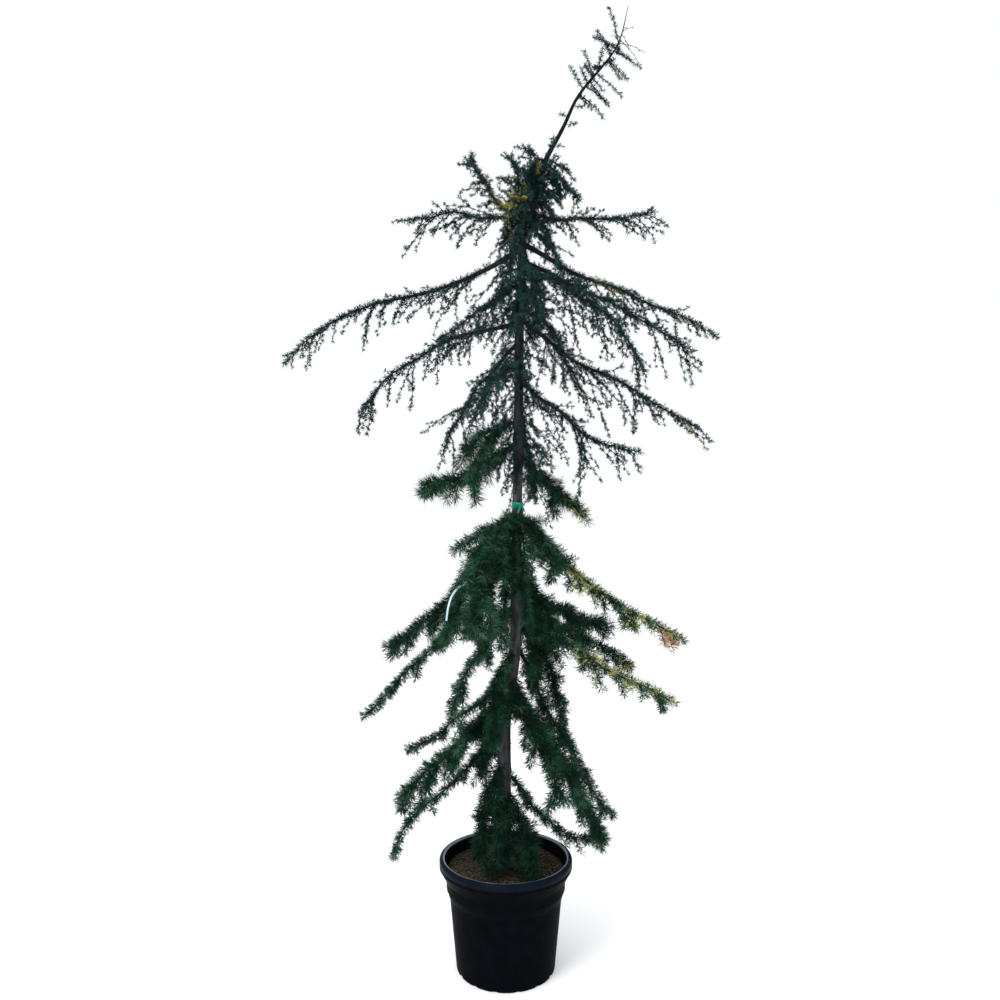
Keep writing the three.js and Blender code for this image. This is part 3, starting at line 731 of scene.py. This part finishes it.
def dress_shoot(part, name, kind, t, point, direction, length, weep, rng, order=1):
    """A shoot with its needles and its own side twigs."""
    path = grown(point, direction, length, weep, rng)
    if not (clear_of_trunk(path[2:], 1).all() and in_space(path)):
        return
    spray = spray_for(part, name, t, rng)
    add_twig(part, path, TWIG_RADIUS[order] * (LOWER_STOUTER if part == "lower" else 1))
    add_tufts(part, spray, path, kind, rng, BARE_FOOT, rng.uniform(*TUFTS_APART), kind.slight)
    if order > 1:
        return
    along = arc_lengths(path)
    tangents = tangents_of(path)
    for k, place in enumerate(np.arange(kind.side * SIDE_FROM, length * SIDE_TO, kind.side)):
        at = int(np.searchsorted(along, place + rng.uniform(-SIDE_STRAY, SIDE_STRAY)))
        at = min(max(at, 1), len(path) - 2)
        side, lift = across(tangents[at][None])
        turn = rng.uniform(-SIDE_TURN, SIDE_TURN) + (0 if k % 2 else math.pi)
        out = side[0] * math.cos(turn) + lift[0] * math.sin(turn)
        spread = math.radians(kind.spread * rng.uniform(*SIDE_SPREAD))
        branch = tangents[at] * math.cos(spread) + out * math.sin(spread)
        left = (length - place) * rng.uniform(*SIDE_LENGTH)
        if left > SHORTEST_SIDE:
            dress_shoot(part, name, kind, t, path[at], branch, left, weep, rng, order=2)


def dress_bough(bough):
    """A bough's needles, the solids' side shoots and slighter ones. Returns its path and radii."""
    kind, part = bough.kind, part_of(bough)
    controls = bough_controls(bough)
    t, path, radii = bough_wood(bough)
    rng = np.random.default_rng(SEEDS_EACH + bough.seed)
    leafy = arc_lengths(path)[-1] * (1 - bough.limb)
    leafy_from = int(np.searchsorted(t, bough.limb))
    middle = (leafy_from + len(path)) // 2
    stretches = [(0, leafy_from, ON_LIMB), (leafy_from, middle, ON_BOUGH), (middle, len(path) - 1, ON_BOUGH)]
    for first, last, apart in stretches:
        if last - first < 2:
            continue
        along = slice(first, last + 1)
        spray = spray_for(part, bough.name, t[along].mean(), rng)
        bare = NEAR_TRUNK if first == 0 else 0
        add_tufts(part, spray, path[along], kind, rng, bare, apart, wood=radii[along] * WOOD_TO_TUFT)
    count = round(leafy / kind.apart)
    for index in range(count):
        seed = bough.seed * SEEDS_EACH + index
        at, direction, length, weep, _ = side_shoot(bough, controls, index, count, seed)
        dress_shoot(part, bough.name, kind, at, along_path(at, t, path), direction, length, weep, rng)
    slight = bough
    if kind == THIN:
        slight = bough._replace(kind=kind._replace(spread=SLIGHT_SPREAD, weep=SLIGHT_WEEP))
    finer = round(count * kind.finer)
    for index in range(finer):
        seed = bough.seed * SEEDS_EACH + SLIGHT_SEEDS + index
        at, direction, length, weep, roll = side_shoot(slight, controls, index, finer, seed, SLIGHT_ROLLS)
        rising = roll > 90
        length = min(length * SLIGHT_SHARE, kind.shoot * SLIGHT_LONGEST) * (RISING_SHARE if rising else 1)
        if kind == THIN:
            length *= 1 + CLUMPING * math.sin(at * CLUMP_TURNS * TAU + bough.seed * GOLDEN_TURN)
        weep = 0 if rising else weep
        dress_shoot(part, bough.name, kind, at, along_path(at, t, path), direction, length, weep, rng)
    return path, radii


def dress_trunk():
    """The short shoots that clothe the upper trunk."""
    rng = np.random.default_rng(7)
    for low, high, count, shortest, longest, least, most in TRUNK_SHOOTS:
        for index in range(count):
            height = low + (high - low) * (index + rng.random()) / count
            bearing = math.degrees(index * GOLDEN_TURN) + rng.uniform(-BEARING_STRAY, BEARING_STRAY)
            direction = heading(bearing, rng.uniform(least, most))
            middle, radius = trunk_at(height)
            point = middle + heading(bearing, 0) * radius * WOOD_AT_ROOT
            length = rng.uniform(shortest, longest)
            weep = HANGING_WEEP if most > 0 else RISING_WEEP
            dress_shoot("upper", "trunk", TRUNK_KIND, 0, point, direction, length, weep, rng)


def leader_point(t):
    """A point of the leader's leafy end and its direction, for the share t of its curve."""
    ends = [TRUNK[-1][0], LEADER_TIP[0], LEADER_WISP[0]]
    points, _ = smooth_trunk(np.interp([t - 0.02, t, t + 0.02], [0, 0.5, 1], ends))
    return points[1], unit(points[2] - points[0])


# Thin twigs at the leader's top: bearing, angle below level and length.
WISPS = [(4, 5, 85), (350, 40, 100), (185, -20, 30), (60, -5, 60), (300, 0, 50)]
WISP_FROM, WISPS_APART = 0.5, 0.04
WISP_KIND = FINE._replace(tuft=3, length=8)

# Short twigs on the leader's bare part: height, bearing and length.
LEADER_STUBS = [(2475, 5, 30), (2500, 175, 22), (2540, 350, 34), (2570, 190, 24), (2600, 30, 40)]
LEADER_FINER, FINER_LENGTHS = 9, (0.35, 0.8)


def leader_shoot(place, count, turn, length, rng):
    """A shoot that leaves the leader at a turn round it and rises with it."""
    t = LEADER_FROM + (LEADER_TO - LEADER_FROM) * place / count
    turn -= LEADER_FLAT * math.sin(2 * turn)
    point, tangent = leader_point(t)
    side = unit(np.cross([0, 1, 0], tangent))
    depth = np.cross(tangent, side)
    spread = math.radians(FINE.spread + LEADER_OPEN * math.cos(turn))
    out = side * math.cos(turn) + depth * math.sin(turn)
    direction = tangent * math.cos(spread) + out * math.sin(spread)
    dress_shoot("upper", "leader", FINE, t, point, direction, length, FINE.weep, rng)


def dress_leader():
    """The leader's shoots, in a spiral that favours its two sides, and its wisps."""
    rng = np.random.default_rng(5)
    for index in range(LEADER_SHOOTS):
        draw = seeded(LEADER_SEED * SEEDS_EACH + index)
        place = index + LEADER_PLACES[0] + LEADER_PLACES[1] * draw()
        turn = index * LEADER_TURN + draw()
        length = FINE.shoot * (LEADER_LENGTHS[0] + LEADER_LENGTHS[1] * draw())
        leader_shoot(place, LEADER_SHOOTS, turn, length, rng)
    for index in range(LEADER_FINER):
        place, turn = index + rng.random(), (index + 0.5) * LEADER_TURN
        leader_shoot(place, LEADER_FINER, turn, FINE.shoot * rng.uniform(*FINER_LENGTHS), rng)
    for height, bearing, length in LEADER_STUBS:
        middle, _ = trunk_at(height)
        path = grown(middle, heading(bearing, below=-10), length, weep=0.2, rng=rng)
        add_twig("upper", path, TWIG_RADIUS[2])
        add_tufts("upper", DARK_SPRAY, path, FINE, rng, bare=0.4)
    for k, (bearing, below, length) in enumerate(WISPS):
        point, _ = leader_point(WISP_FROM + WISPS_APART * k)
        path = grown(point, heading(bearing, below), length, weep=0.5, rng=rng)
        add_twig("upper", path, radius=1.0)
        add_tufts("upper", DARK_SPRAY, path, WISP_KIND, rng, apart=2.2)


BOUGH_SIDES, BOUGH_RELIEF = 10, 0.12


def wood_shape(boughs):
    shape = Shape()
    for path, radii, seed in boughs:
        along = arc_lengths(path)[:, None]
        relief = bark_relief(angles(BOUGH_SIDES)[None], along, radii.mean() * 2, seed=20 + seed)
        shape.add(*tube(path, radii[:, None] * (1 + BOUGH_RELIEF * relief), BOUGH_SIDES))
    return shape


def bark(name, dark, light, specular):
    """Bark whose grain runs along Z."""
    return speckled(name, dark, light, 60, 0.85, specular, stretch=(1, 1, 0.25), bump=0.6, depth=1.2)


WOOD = bark("bark", (0.015, 0.015, 0.016), (0.068, 0.069, 0.072), 0.15)
DARK_WOOD = bark("dark_bark", (0.006, 0.007, 0.01), (0.026, 0.029, 0.038), 0.12)
LEADER_WOOD = bark("leader_bark", (0.003, 0.003, 0.004), (0.012, 0.011, 0.015), 0.08)
TWIG_WOOD = speckled("twig_bark", (0.007, 0.007, 0.009), (0.028, 0.024, 0.027), 120, 0.85, 0.1)


def make_tree():
    """Bark, boughs, twigs and needles. Returns each bough's path by its name."""
    dressed = [(*dress_bough(bough), bough.seed) for bough in BOUGHS]
    dress_trunk()
    dress_leader()
    trunk_parts = [
        ("trunk_bark_lower", TRUNK[0][0], DARK_FROM, WOOD),
        ("trunk_bark_upper", DARK_FROM, LEADER_BARK_FROM, DARK_WOOD),
        ("leader_bark", LEADER_BARK_FROM, LEADER_WISP[0], LEADER_WOOD),
    ]
    for name, low, high, wood in trunk_parts:
        trunk_shape(low, high).place(name, wood, "bark", "trunk")
    limbs = [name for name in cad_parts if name.startswith("limb_")]
    wood_shape(dressed).place("bough_bark", TWIG_WOOD, "bark", *limbs)
    masses = {"upper": ["foliage_leader"], "lower": []}
    for bough in BOUGHS:
        masses[part_of(bough)].append(f"foliage_{bough.name}")
    slots = {"upper": "needles_dark", "lower": "needles_green"}
    for part, shape in twigs.items():
        shape.place(f"twigs_{part}", TWIG_WOOD, "bark")
    rng = np.random.default_rng(3)
    for (part, tone), groups in needles.items():
        dark, light = shade(TONES[tone], 0.7), shade(TONES[tone], 1.3)
        material = speckled(f"needles_{tone}", dark, light, 14, 0.55, 0.06)
        needle_mesh(groups, rng).place(f"needles_{part}_{tone}", material, slots[part], *masses[part])
    return {bough.name: path for bough, (path, _, _) in zip(BOUGHS, dressed)}


# Pot, compost, tape and label

POT_HEIGHT, RIM_RADIUS, MOUTH_RADIUS = 330, 200, 184
FOOT_RADIUS, SHOULDER_RADIUS, NECK_RADIUS = 148, 169, 179
SHOULDER_HEIGHT, NECK_HEIGHT, RIM_FOOT, RIM_EDGE = 218, 240, 268, 302
WALL, FLOOR = 3, 4
DRAIN_HOLES, DRAIN_RADIUS, DRAIN_RING = 4, 9, 105
FLUTES, FLUTE_TOP, FLUTE_DEPTH, FLUTE_EDGE = 14, 26, 0.02, 0.75
FOOT_ROUND, EDGE_ROUND, LIP_ROUND = 3.5, 8, 5
POT_SIDES, SOIL_SIDES = 128, 96
PROUD = 0.3  # how far the rim's piece stands out of the pot and the compost stays clear of it
SOIL_LEVEL, SOIL_EDGE, SOIL_FLAT = 300, 294, 60


def arc(middle, radius, start, stop, steps):
    """Points of radius and height on an arc, between two angles in degrees."""
    turns = np.radians(np.linspace(start, stop, steps))
    return [(middle[0] + radius * math.cos(a), middle[1] + radius * math.sin(a)) for a in turns]


def pot_profile():
    """The pot's section: foot, wall, shoulder, neck, slanted rim with a rolled lip, and inside."""
    taper = (SHOULDER_RADIUS - FOOT_RADIUS) / SHOULDER_HEIGHT
    wall = (3, 8, 14, 20, FLUTE_TOP, 60, 110, 160, 200, SHOULDER_HEIGHT - 4)
    return [
        (0, 0),
        (FOOT_RADIUS - 30, 0),
        (FOOT_RADIUS - 6, 0),
        *arc((FOOT_RADIUS - FOOT_ROUND, FOOT_ROUND), FOOT_ROUND, -90, -20, 5),
        *((FOOT_RADIUS + taper * z, z) for z in wall),
        (SHOULDER_RADIUS + 0.6, SHOULDER_HEIGHT),
        (SHOULDER_RADIUS + 3, SHOULDER_HEIGHT + 3),
        (NECK_RADIUS - 3, NECK_HEIGHT - 5),
        (NECK_RADIUS - 0.6, NECK_HEIGHT - 1),
        (NECK_RADIUS, NECK_HEIGHT + 4),
        (NECK_RADIUS, RIM_FOOT - 4),
        (NECK_RADIUS + 1, RIM_FOOT),
        (NECK_RADIUS + 3, RIM_FOOT + 3),
        (RIM_RADIUS - 3, RIM_EDGE - 4),
        *arc((RIM_RADIUS - 2, RIM_EDGE + 1), 2, -50, 0, 4),
        *arc((RIM_RADIUS - EDGE_ROUND, POT_HEIGHT - EDGE_ROUND), EDGE_ROUND, 0, 80, 7),
        *arc((MOUTH_RADIUS + LIP_ROUND, POT_HEIGHT - LIP_ROUND), LIP_ROUND, 95, 180, 6),
        (NECK_RADIUS - WALL + 1, RIM_FOOT + 3),
        (NECK_RADIUS - WALL, RIM_FOOT),
        (NECK_RADIUS - WALL, NECK_HEIGHT),
        (SHOULDER_RADIUS - WALL, SHOULDER_HEIGHT),
        (FOOT_RADIUS - WALL, FLOOR),
        (0, FLOOR),
    ]


def hoop(section):
    """A closed section of radii and heights, turned about Z."""
    radii, heights = np.array(section, float).T
    angle, corners = angles(POT_SIDES), len(section)
    x, y, z = np.outer(np.cos(angle), radii), np.outer(np.sin(angle), radii), np.tile(heights, (POT_SIDES, 1))
    i, k = np.meshgrid(np.arange(POT_SIDES), np.arange(corners), indexing="ij")
    here, there, up = i * corners, (i + 1) % POT_SIDES * corners, (k + 1) % corners
    faces = [np.stack([here + k, there + k, there + up], -1), np.stack([here + k, there + up, here + up], -1)]
    return np.stack([x, y, z], -1).reshape(-1, 3), np.concatenate(faces).reshape(-1, 3)


def rim_section():
    """The rim's outside and top, a hair proud of the pot, to carry the rim's painted sky reflection."""
    edge = (RIM_RADIUS - EDGE_ROUND, POT_HEIGHT - EDGE_ROUND)
    return [
        (RIM_RADIUS - 1.5, RIM_EDGE + 9),
        (RIM_RADIUS + PROUD, RIM_EDGE + 10),
        *arc(edge, EDGE_ROUND + PROUD, 0, 85, 8),
        (MOUTH_RADIUS + 5, POT_HEIGHT + PROUD),
        (MOUTH_RADIUS + 6, POT_HEIGHT - 4),
    ]


def lip_section():
    """The smooth inner edge of the pot's lip, which carries a painted highlight."""
    middle = (MOUTH_RADIUS + LIP_ROUND, POT_HEIGHT - LIP_ROUND)
    return [*arc(middle, LIP_ROUND + 0.5, 80, 185, 9), (MOUTH_RADIUS + 5, POT_HEIGHT - 6)]


def fluted(height, angle):
    """Shallow notches round the foot, which fade out upwards."""
    fade = np.clip(1 - height / FLUTE_TOP, 0, 1)
    return 1 - FLUTE_DEPTH * fade * (np.cos(angle * FLUTES) > FLUTE_EDGE)


def make_pot():
    shape = Shape()
    shape.add(*turned(pot_profile(), POT_SIDES, fluted))
    plastic = speckled(
        "pot", (0.0021, 0.0023, 0.0034), (0.0031, 0.0034, 0.0054), 30, 0.45, 0.006, bump=0.05, depth=0.3
    )
    pot = shape.place("nursery_pot", plastic, "pot", "pot")
    drills = Shape()
    for k in range(DRAIN_HOLES):
        angle = (k + 0.5) / DRAIN_HOLES * TAU
        x, y = DRAIN_RING * math.cos(angle), DRAIN_RING * math.sin(angle)
        through = np.array([[x, y, -2.0 * FLOOR], [x, y, 3.0 * FLOOR]])
        drills.add(*tube(through, [DRAIN_RADIUS, DRAIN_RADIUS], sides=24))
    drill = drills.as_object("drill")
    cut = pot.modifiers.new("drain", "BOOLEAN")
    cut.operation = "DIFFERENCE"
    cut.object = drill
    shaped = pot.evaluated_get(bpy.context.evaluated_depsgraph_get())
    mesh = bpy.data.meshes.new_from_object(shaped)
    pot.modifiers.clear()
    pot.data = mesh
    bpy.data.objects.remove(drill)
    # The rim's navy on black plastic is a painted reflection of the blue sky.
    rim_painted_reflection = speckled("pot_rim", (0.0022, 0.0046, 0.009), (0.0036, 0.0076, 0.015), 30, 0.4, 0.02)
    # The lip's pale blue is a painted highlight of the sky; its high gloss also reflects real light.
    painted_lip_highlight = speckled("pot_lip", (0.024, 0.042, 0.072), (0.04, 0.066, 0.11), 30, 0.2, 0.9)
    for name, section, material in (("pot_rim", rim_section(), rim_painted_reflection), ("pot_lip", lip_section(), painted_lip_highlight)):
        ring = Shape()
        ring.add(*hoop(section))
        ring.place(name, material, "pot", "pot")


# Lumps of the compost: height, size, place in the noise and seed. They calm by the wall.
LUMPS = [(2.6, 22, 40, 31), (1.2, 8, 60, 32)]
CALM_WITHIN, CALMEST = 12, 0.2

# Flakes of bark and fallen needles: how many, how far from the wall, their sizes, and tilt or width.
FLAKES, FLAKES_IN, FLAKE_SIZES, FLAKE_TILT = 900, 12, ((2, 8), (1.5, 4), (0.6, 1.6)), 0.25
FALLEN, FALLEN_IN, FALLEN_LENGTHS, FALLEN_WIDTH = 900, 25, (14, 30), 1.6


def soil_height(x, y):
    """The compost's surface: a low mound with lumps."""
    r = np.hypot(x, y)
    slope = np.clip((r - SOIL_FLAT) / (NECK_RADIUS - WALL - SOIL_FLAT), 0, 1)
    lumps = sum(high * value_noise(x / wide + at, y / wide + at, seed) for high, wide, at, seed in LUMPS)
    calm = np.clip((NECK_RADIUS - WALL - r) / CALM_WITHIN, CALMEST, 1)
    return SOIL_LEVEL + (SOIL_EDGE - SOIL_LEVEL) * slope + lumps * calm


def flake_mesh(rng):
    """Flat blocks with uneven corners."""
    shape = Shape()
    corners = np.array([[x, y, z] for z in (-1, 1) for x, y in ((-1, -1), (1, -1), (1, 1), (-1, 1))], float)
    quads = [(0, 3, 2, 1), (4, 5, 6, 7), (0, 1, 5, 4), (1, 2, 6, 5), (2, 3, 7, 6), (3, 0, 4, 7)]
    faces = np.array([f for a, b, c, d in quads for f in ((a, b, c), (a, c, d))])
    for _ in range(FLAKES):
        r, bearing = (NECK_RADIUS - FLAKES_IN) * math.sqrt(rng.random()), rng.uniform(0, TAU)
        x, y = r * math.cos(bearing), r * math.sin(bearing)
        size = np.array([rng.uniform(*span) for span in FLAKE_SIZES])
        flake = corners * size * rng.uniform(0.7, 1.1, (8, 3))
        turn = Matrix.Rotation(rng.uniform(0, TAU), 3, "Z")
        turn @= Matrix.Rotation(rng.normal(0, FLAKE_TILT), 3, "Y")
        shape.add(flake @ np.array(turn).T + [x, y, soil_height(x, y) + size[2] / 2], faces)
    return shape


def litter_groups(rng):
    r, bearing = (NECK_RADIUS - FALLEN_IN) * np.sqrt(rng.random(FALLEN)), rng.uniform(0, TAU, FALLEN)
    x, y = r * np.cos(bearing), r * np.sin(bearing)
    yaw = rng.uniform(0, TAU, FALLEN)
    directions = unit(np.stack([np.cos(yaw), np.sin(yaw), rng.normal(0.05, 0.12, FALLEN)], 1))
    starts = np.stack([x, y, soil_height(x, y) + FALLEN_WIDTH], 1)
    return [(starts, directions, rng.uniform(*FALLEN_LENGTHS, FALLEN), FALLEN_WIDTH)]


def make_soil():
    clear = WALL + PROUD
    profile = [
        (0, FLOOR + PROUD),
        (FOOT_RADIUS - clear, FLOOR + PROUD),
        (SHOULDER_RADIUS - clear, SHOULDER_HEIGHT),
        (NECK_RADIUS - clear, NECK_HEIGHT),
        *((r, SOIL_LEVEL) for r in np.arange(NECK_RADIUS - clear, 4, -5)),
        (0, SOIL_LEVEL),
    ]
    points, faces = turned(profile, SOIL_SIDES)
    top = points[:, 2] > SOIL_LEVEL - 1
    points[top, 2] = soil_height(points[top, 0], points[top, 1])
    body = Shape()
    body.add(points, faces)
    earth = speckled("compost", (0.008, 0.007, 0.005), (0.033, 0.029, 0.022), 160, 0.95, 0.1, bump=0.8)
    body.place("compost", earth, "soil", "soil")
    rng = np.random.default_rng(21)
    pale = speckled("bark_flakes", (0.025, 0.02, 0.015), (0.086, 0.072, 0.055), 200, 0.9, 0.1, bump=0.5)
    flake_mesh(rng).place("bark_flakes", pale, "soil")
    dry = speckled("fallen_needles", (0.05, 0.035, 0.018), (0.14, 0.1, 0.05), 60, 0.8, 0.1)
    needle_mesh(litter_groups(rng), rng).place("fallen_needles", dry, "soil")


# The tape: width, thickness, turns, climb, and radius against the trunk's. The knot: bearing, how far out
# and radius. The ends: side, length and width.
TAPE_WIDTH, TAPE_THICK, TAPE_TURNS, TAPE_CLIMB, TAPE_ROUND = 9, 0.7, 3.1, 12, 1.13
KNOT_BEARING, KNOT_OUT, KNOT_RADIUS, TAPE_ENDS, END_WIDTH = 302, 3, 2.0, ((-1, 26), (1, 19)), 6


def make_tape():
    """Green tape wound three times round the trunk and knotted."""
    middle, radius = trunk_at(TIE_HEIGHT)
    turn = np.linspace(0, TAPE_TURNS * TAU, 120)
    reach = radius * TAPE_ROUND + 0.25 * turn / TAU
    rise = -TAPE_CLIMB / 2 + TAPE_CLIMB * turn / turn[-1] + 0.8 * np.sin(turn * 1.3)
    out = np.stack([np.cos(turn), np.sin(turn), np.zeros_like(turn)], 1)
    shape = Shape()
    shape.add(*strip(middle + out * reach[:, None] + UP * rise[:, None], out, TAPE_WIDTH, TAPE_THICK))
    facing = heading(KNOT_BEARING, 0)
    sideways = np.cross(UP, facing)
    knot = middle + facing * (radius * TAPE_ROUND + KNOT_OUT)
    loop = np.linspace(0, TAU, 24)[:, None]
    curl = sideways * np.sin(loop) * 3.2 + UP * np.sin(2 * loop) * 2.6 + facing * np.cos(3 * loop) * 0.8
    shape.add(*tube(knot + curl, np.full(len(loop), KNOT_RADIUS), sides=8))
    s = np.linspace(0, 1, 10)[:, None]
    for hand, length in TAPE_ENDS:
        end = knot + sideways * hand * s * length * 0.5 + facing * (4 * s) + DOWN * (s**1.6 * length)
        shape.add(*strip(end, np.repeat(facing[None], len(s), 0), END_WIDTH, TAPE_THICK))
    green = speckled("tape", (0.004, 0.2, 0.11), (0.012, 0.33, 0.2), 90, 0.4, 0.3)
    shape.place("tape", green, "tape", "tie")


# The blank label hangs from a bough and curves out and down.
LABEL = [(-110, -108, 1163), (-140, -122, 1151), (-159, -124, 1122), (-168, -118, 1088), (-172, -112, 1054)]
LABEL_FACING, LABEL_WIDTH, LABEL_THICK, SMOOTHINGS = (-0.35, -0.9, 0.25), 6, 0.5, 6
LOOP_RADIUS, LOOP_WIDTH = 8, 5


def make_label(paths):
    path = paths["left_9"]
    hold = path[np.linalg.norm(path - LABEL[0], axis=1).argmin()]
    loop = np.linspace(0, TAU, 14)[:, None]
    ring = hold + np.cos(loop) * UP * LOOP_RADIUS + np.sin(loop) * np.array([0.5, -0.85, 0]) * LOOP_RADIUS
    shape = Shape()
    shape.add(*strip(ring, ring - hold, LOOP_WIDTH, LABEL_THICK))
    controls = np.array([hold + [0, -LOOP_RADIUS, 0], *LABEL])
    along = np.arange(len(controls))
    band = along_path(np.linspace(0, along[-1], 40), along, controls)
    for _ in range(SMOOTHINGS):
        band[1:-1] = (band[:-2] + 2 * band[1:-1] + band[2:]) / 4
    facing = np.repeat(np.array([LABEL_FACING]), len(band), 0)
    shape.add(*strip(band, facing, LABEL_WIDTH, LABEL_THICK))
    # The label is white; its bluish grey is painted shade and sky tint.
    white_in_painted_shade = speckled("label", (0.4, 0.52, 0.62), (0.56, 0.68, 0.76), 25, 0.4, 0.3)
    shape.place("label", white_in_painted_shade, "tape")


# The stage, in metres. The sky is even half the way up and gets stronger from there.
FLOOR_HALF = 60
SKY_STRENGTH = {"From Min": 0.5, "To Min": 1.04, "To Max": 1.8}
KEY_PLACE, KEY_AIM = (-2.0, -2.6, 4.2), (0, 0, 1.3)
CAMERA_PLACE = (-0.0174, -2.42, 1.368)


def stage():
    """A pale floor, a bright sky, a soft key light and the camera."""
    mesh = bpy.data.meshes.new("floor")
    corners = [(x * FLOOR_HALF, y * FLOOR_HALF, 0) for x, y in ((-1, -1), (1, -1), (1, 1), (-1, 1))]
    mesh.from_pydata(corners, [], [(0, 1, 2, 3)])
    floor = added("floor", mesh)
    floor.data.materials.append(speckled("floor", (0.9, 0.9, 0.91), (0.92, 0.92, 0.93), 2, 0.9, 0.1))

    world = bpy.data.worlds.new("sky")
    bpy.context.scene.world = world
    world.use_nodes = True
    tree = world.node_tree
    sky = set_inputs(tree.nodes["Background"], {"Color": (0.96, 0.985, 1.0, 1)})
    place = tree.nodes.new("ShaderNodeTexCoord")
    parts = tree.nodes.new("ShaderNodeSeparateXYZ")
    height = set_inputs(tree.nodes.new("ShaderNodeMapRange"), SKY_STRENGTH)
    tree.links.new(place.outputs["Generated"], parts.inputs["Vector"])
    tree.links.new(parts.outputs["Z"], height.inputs["Value"])
    tree.links.new(height.outputs["Result"], sky.inputs["Strength"])

    light = bpy.data.lights.new("key", "AREA")
    light.shape, light.size, light.energy, light.color = "DISK", 2.0, 140, (1.0, 0.98, 0.95)
    key = added("key", light)
    key.location = KEY_PLACE
    key.rotation_euler = (Vector(KEY_AIM) - key.location).to_track_quat("-Z", "Y").to_euler()

    lens = bpy.data.cameras.new("camera")
    lens.sensor_width, lens.lens, lens.shift_y = 36, 28.8, 0.012
    camera = added("camera", lens)
    camera.location, camera.rotation_euler = CAMERA_PLACE, (math.radians(90), 0, 0)
    bpy.context.scene.camera = camera
    bpy.context.scene.view_settings.view_transform = "Standard"


bough_paths = make_tree()
make_pot()
make_soil()
make_tape()
make_label(bough_paths)
stage()
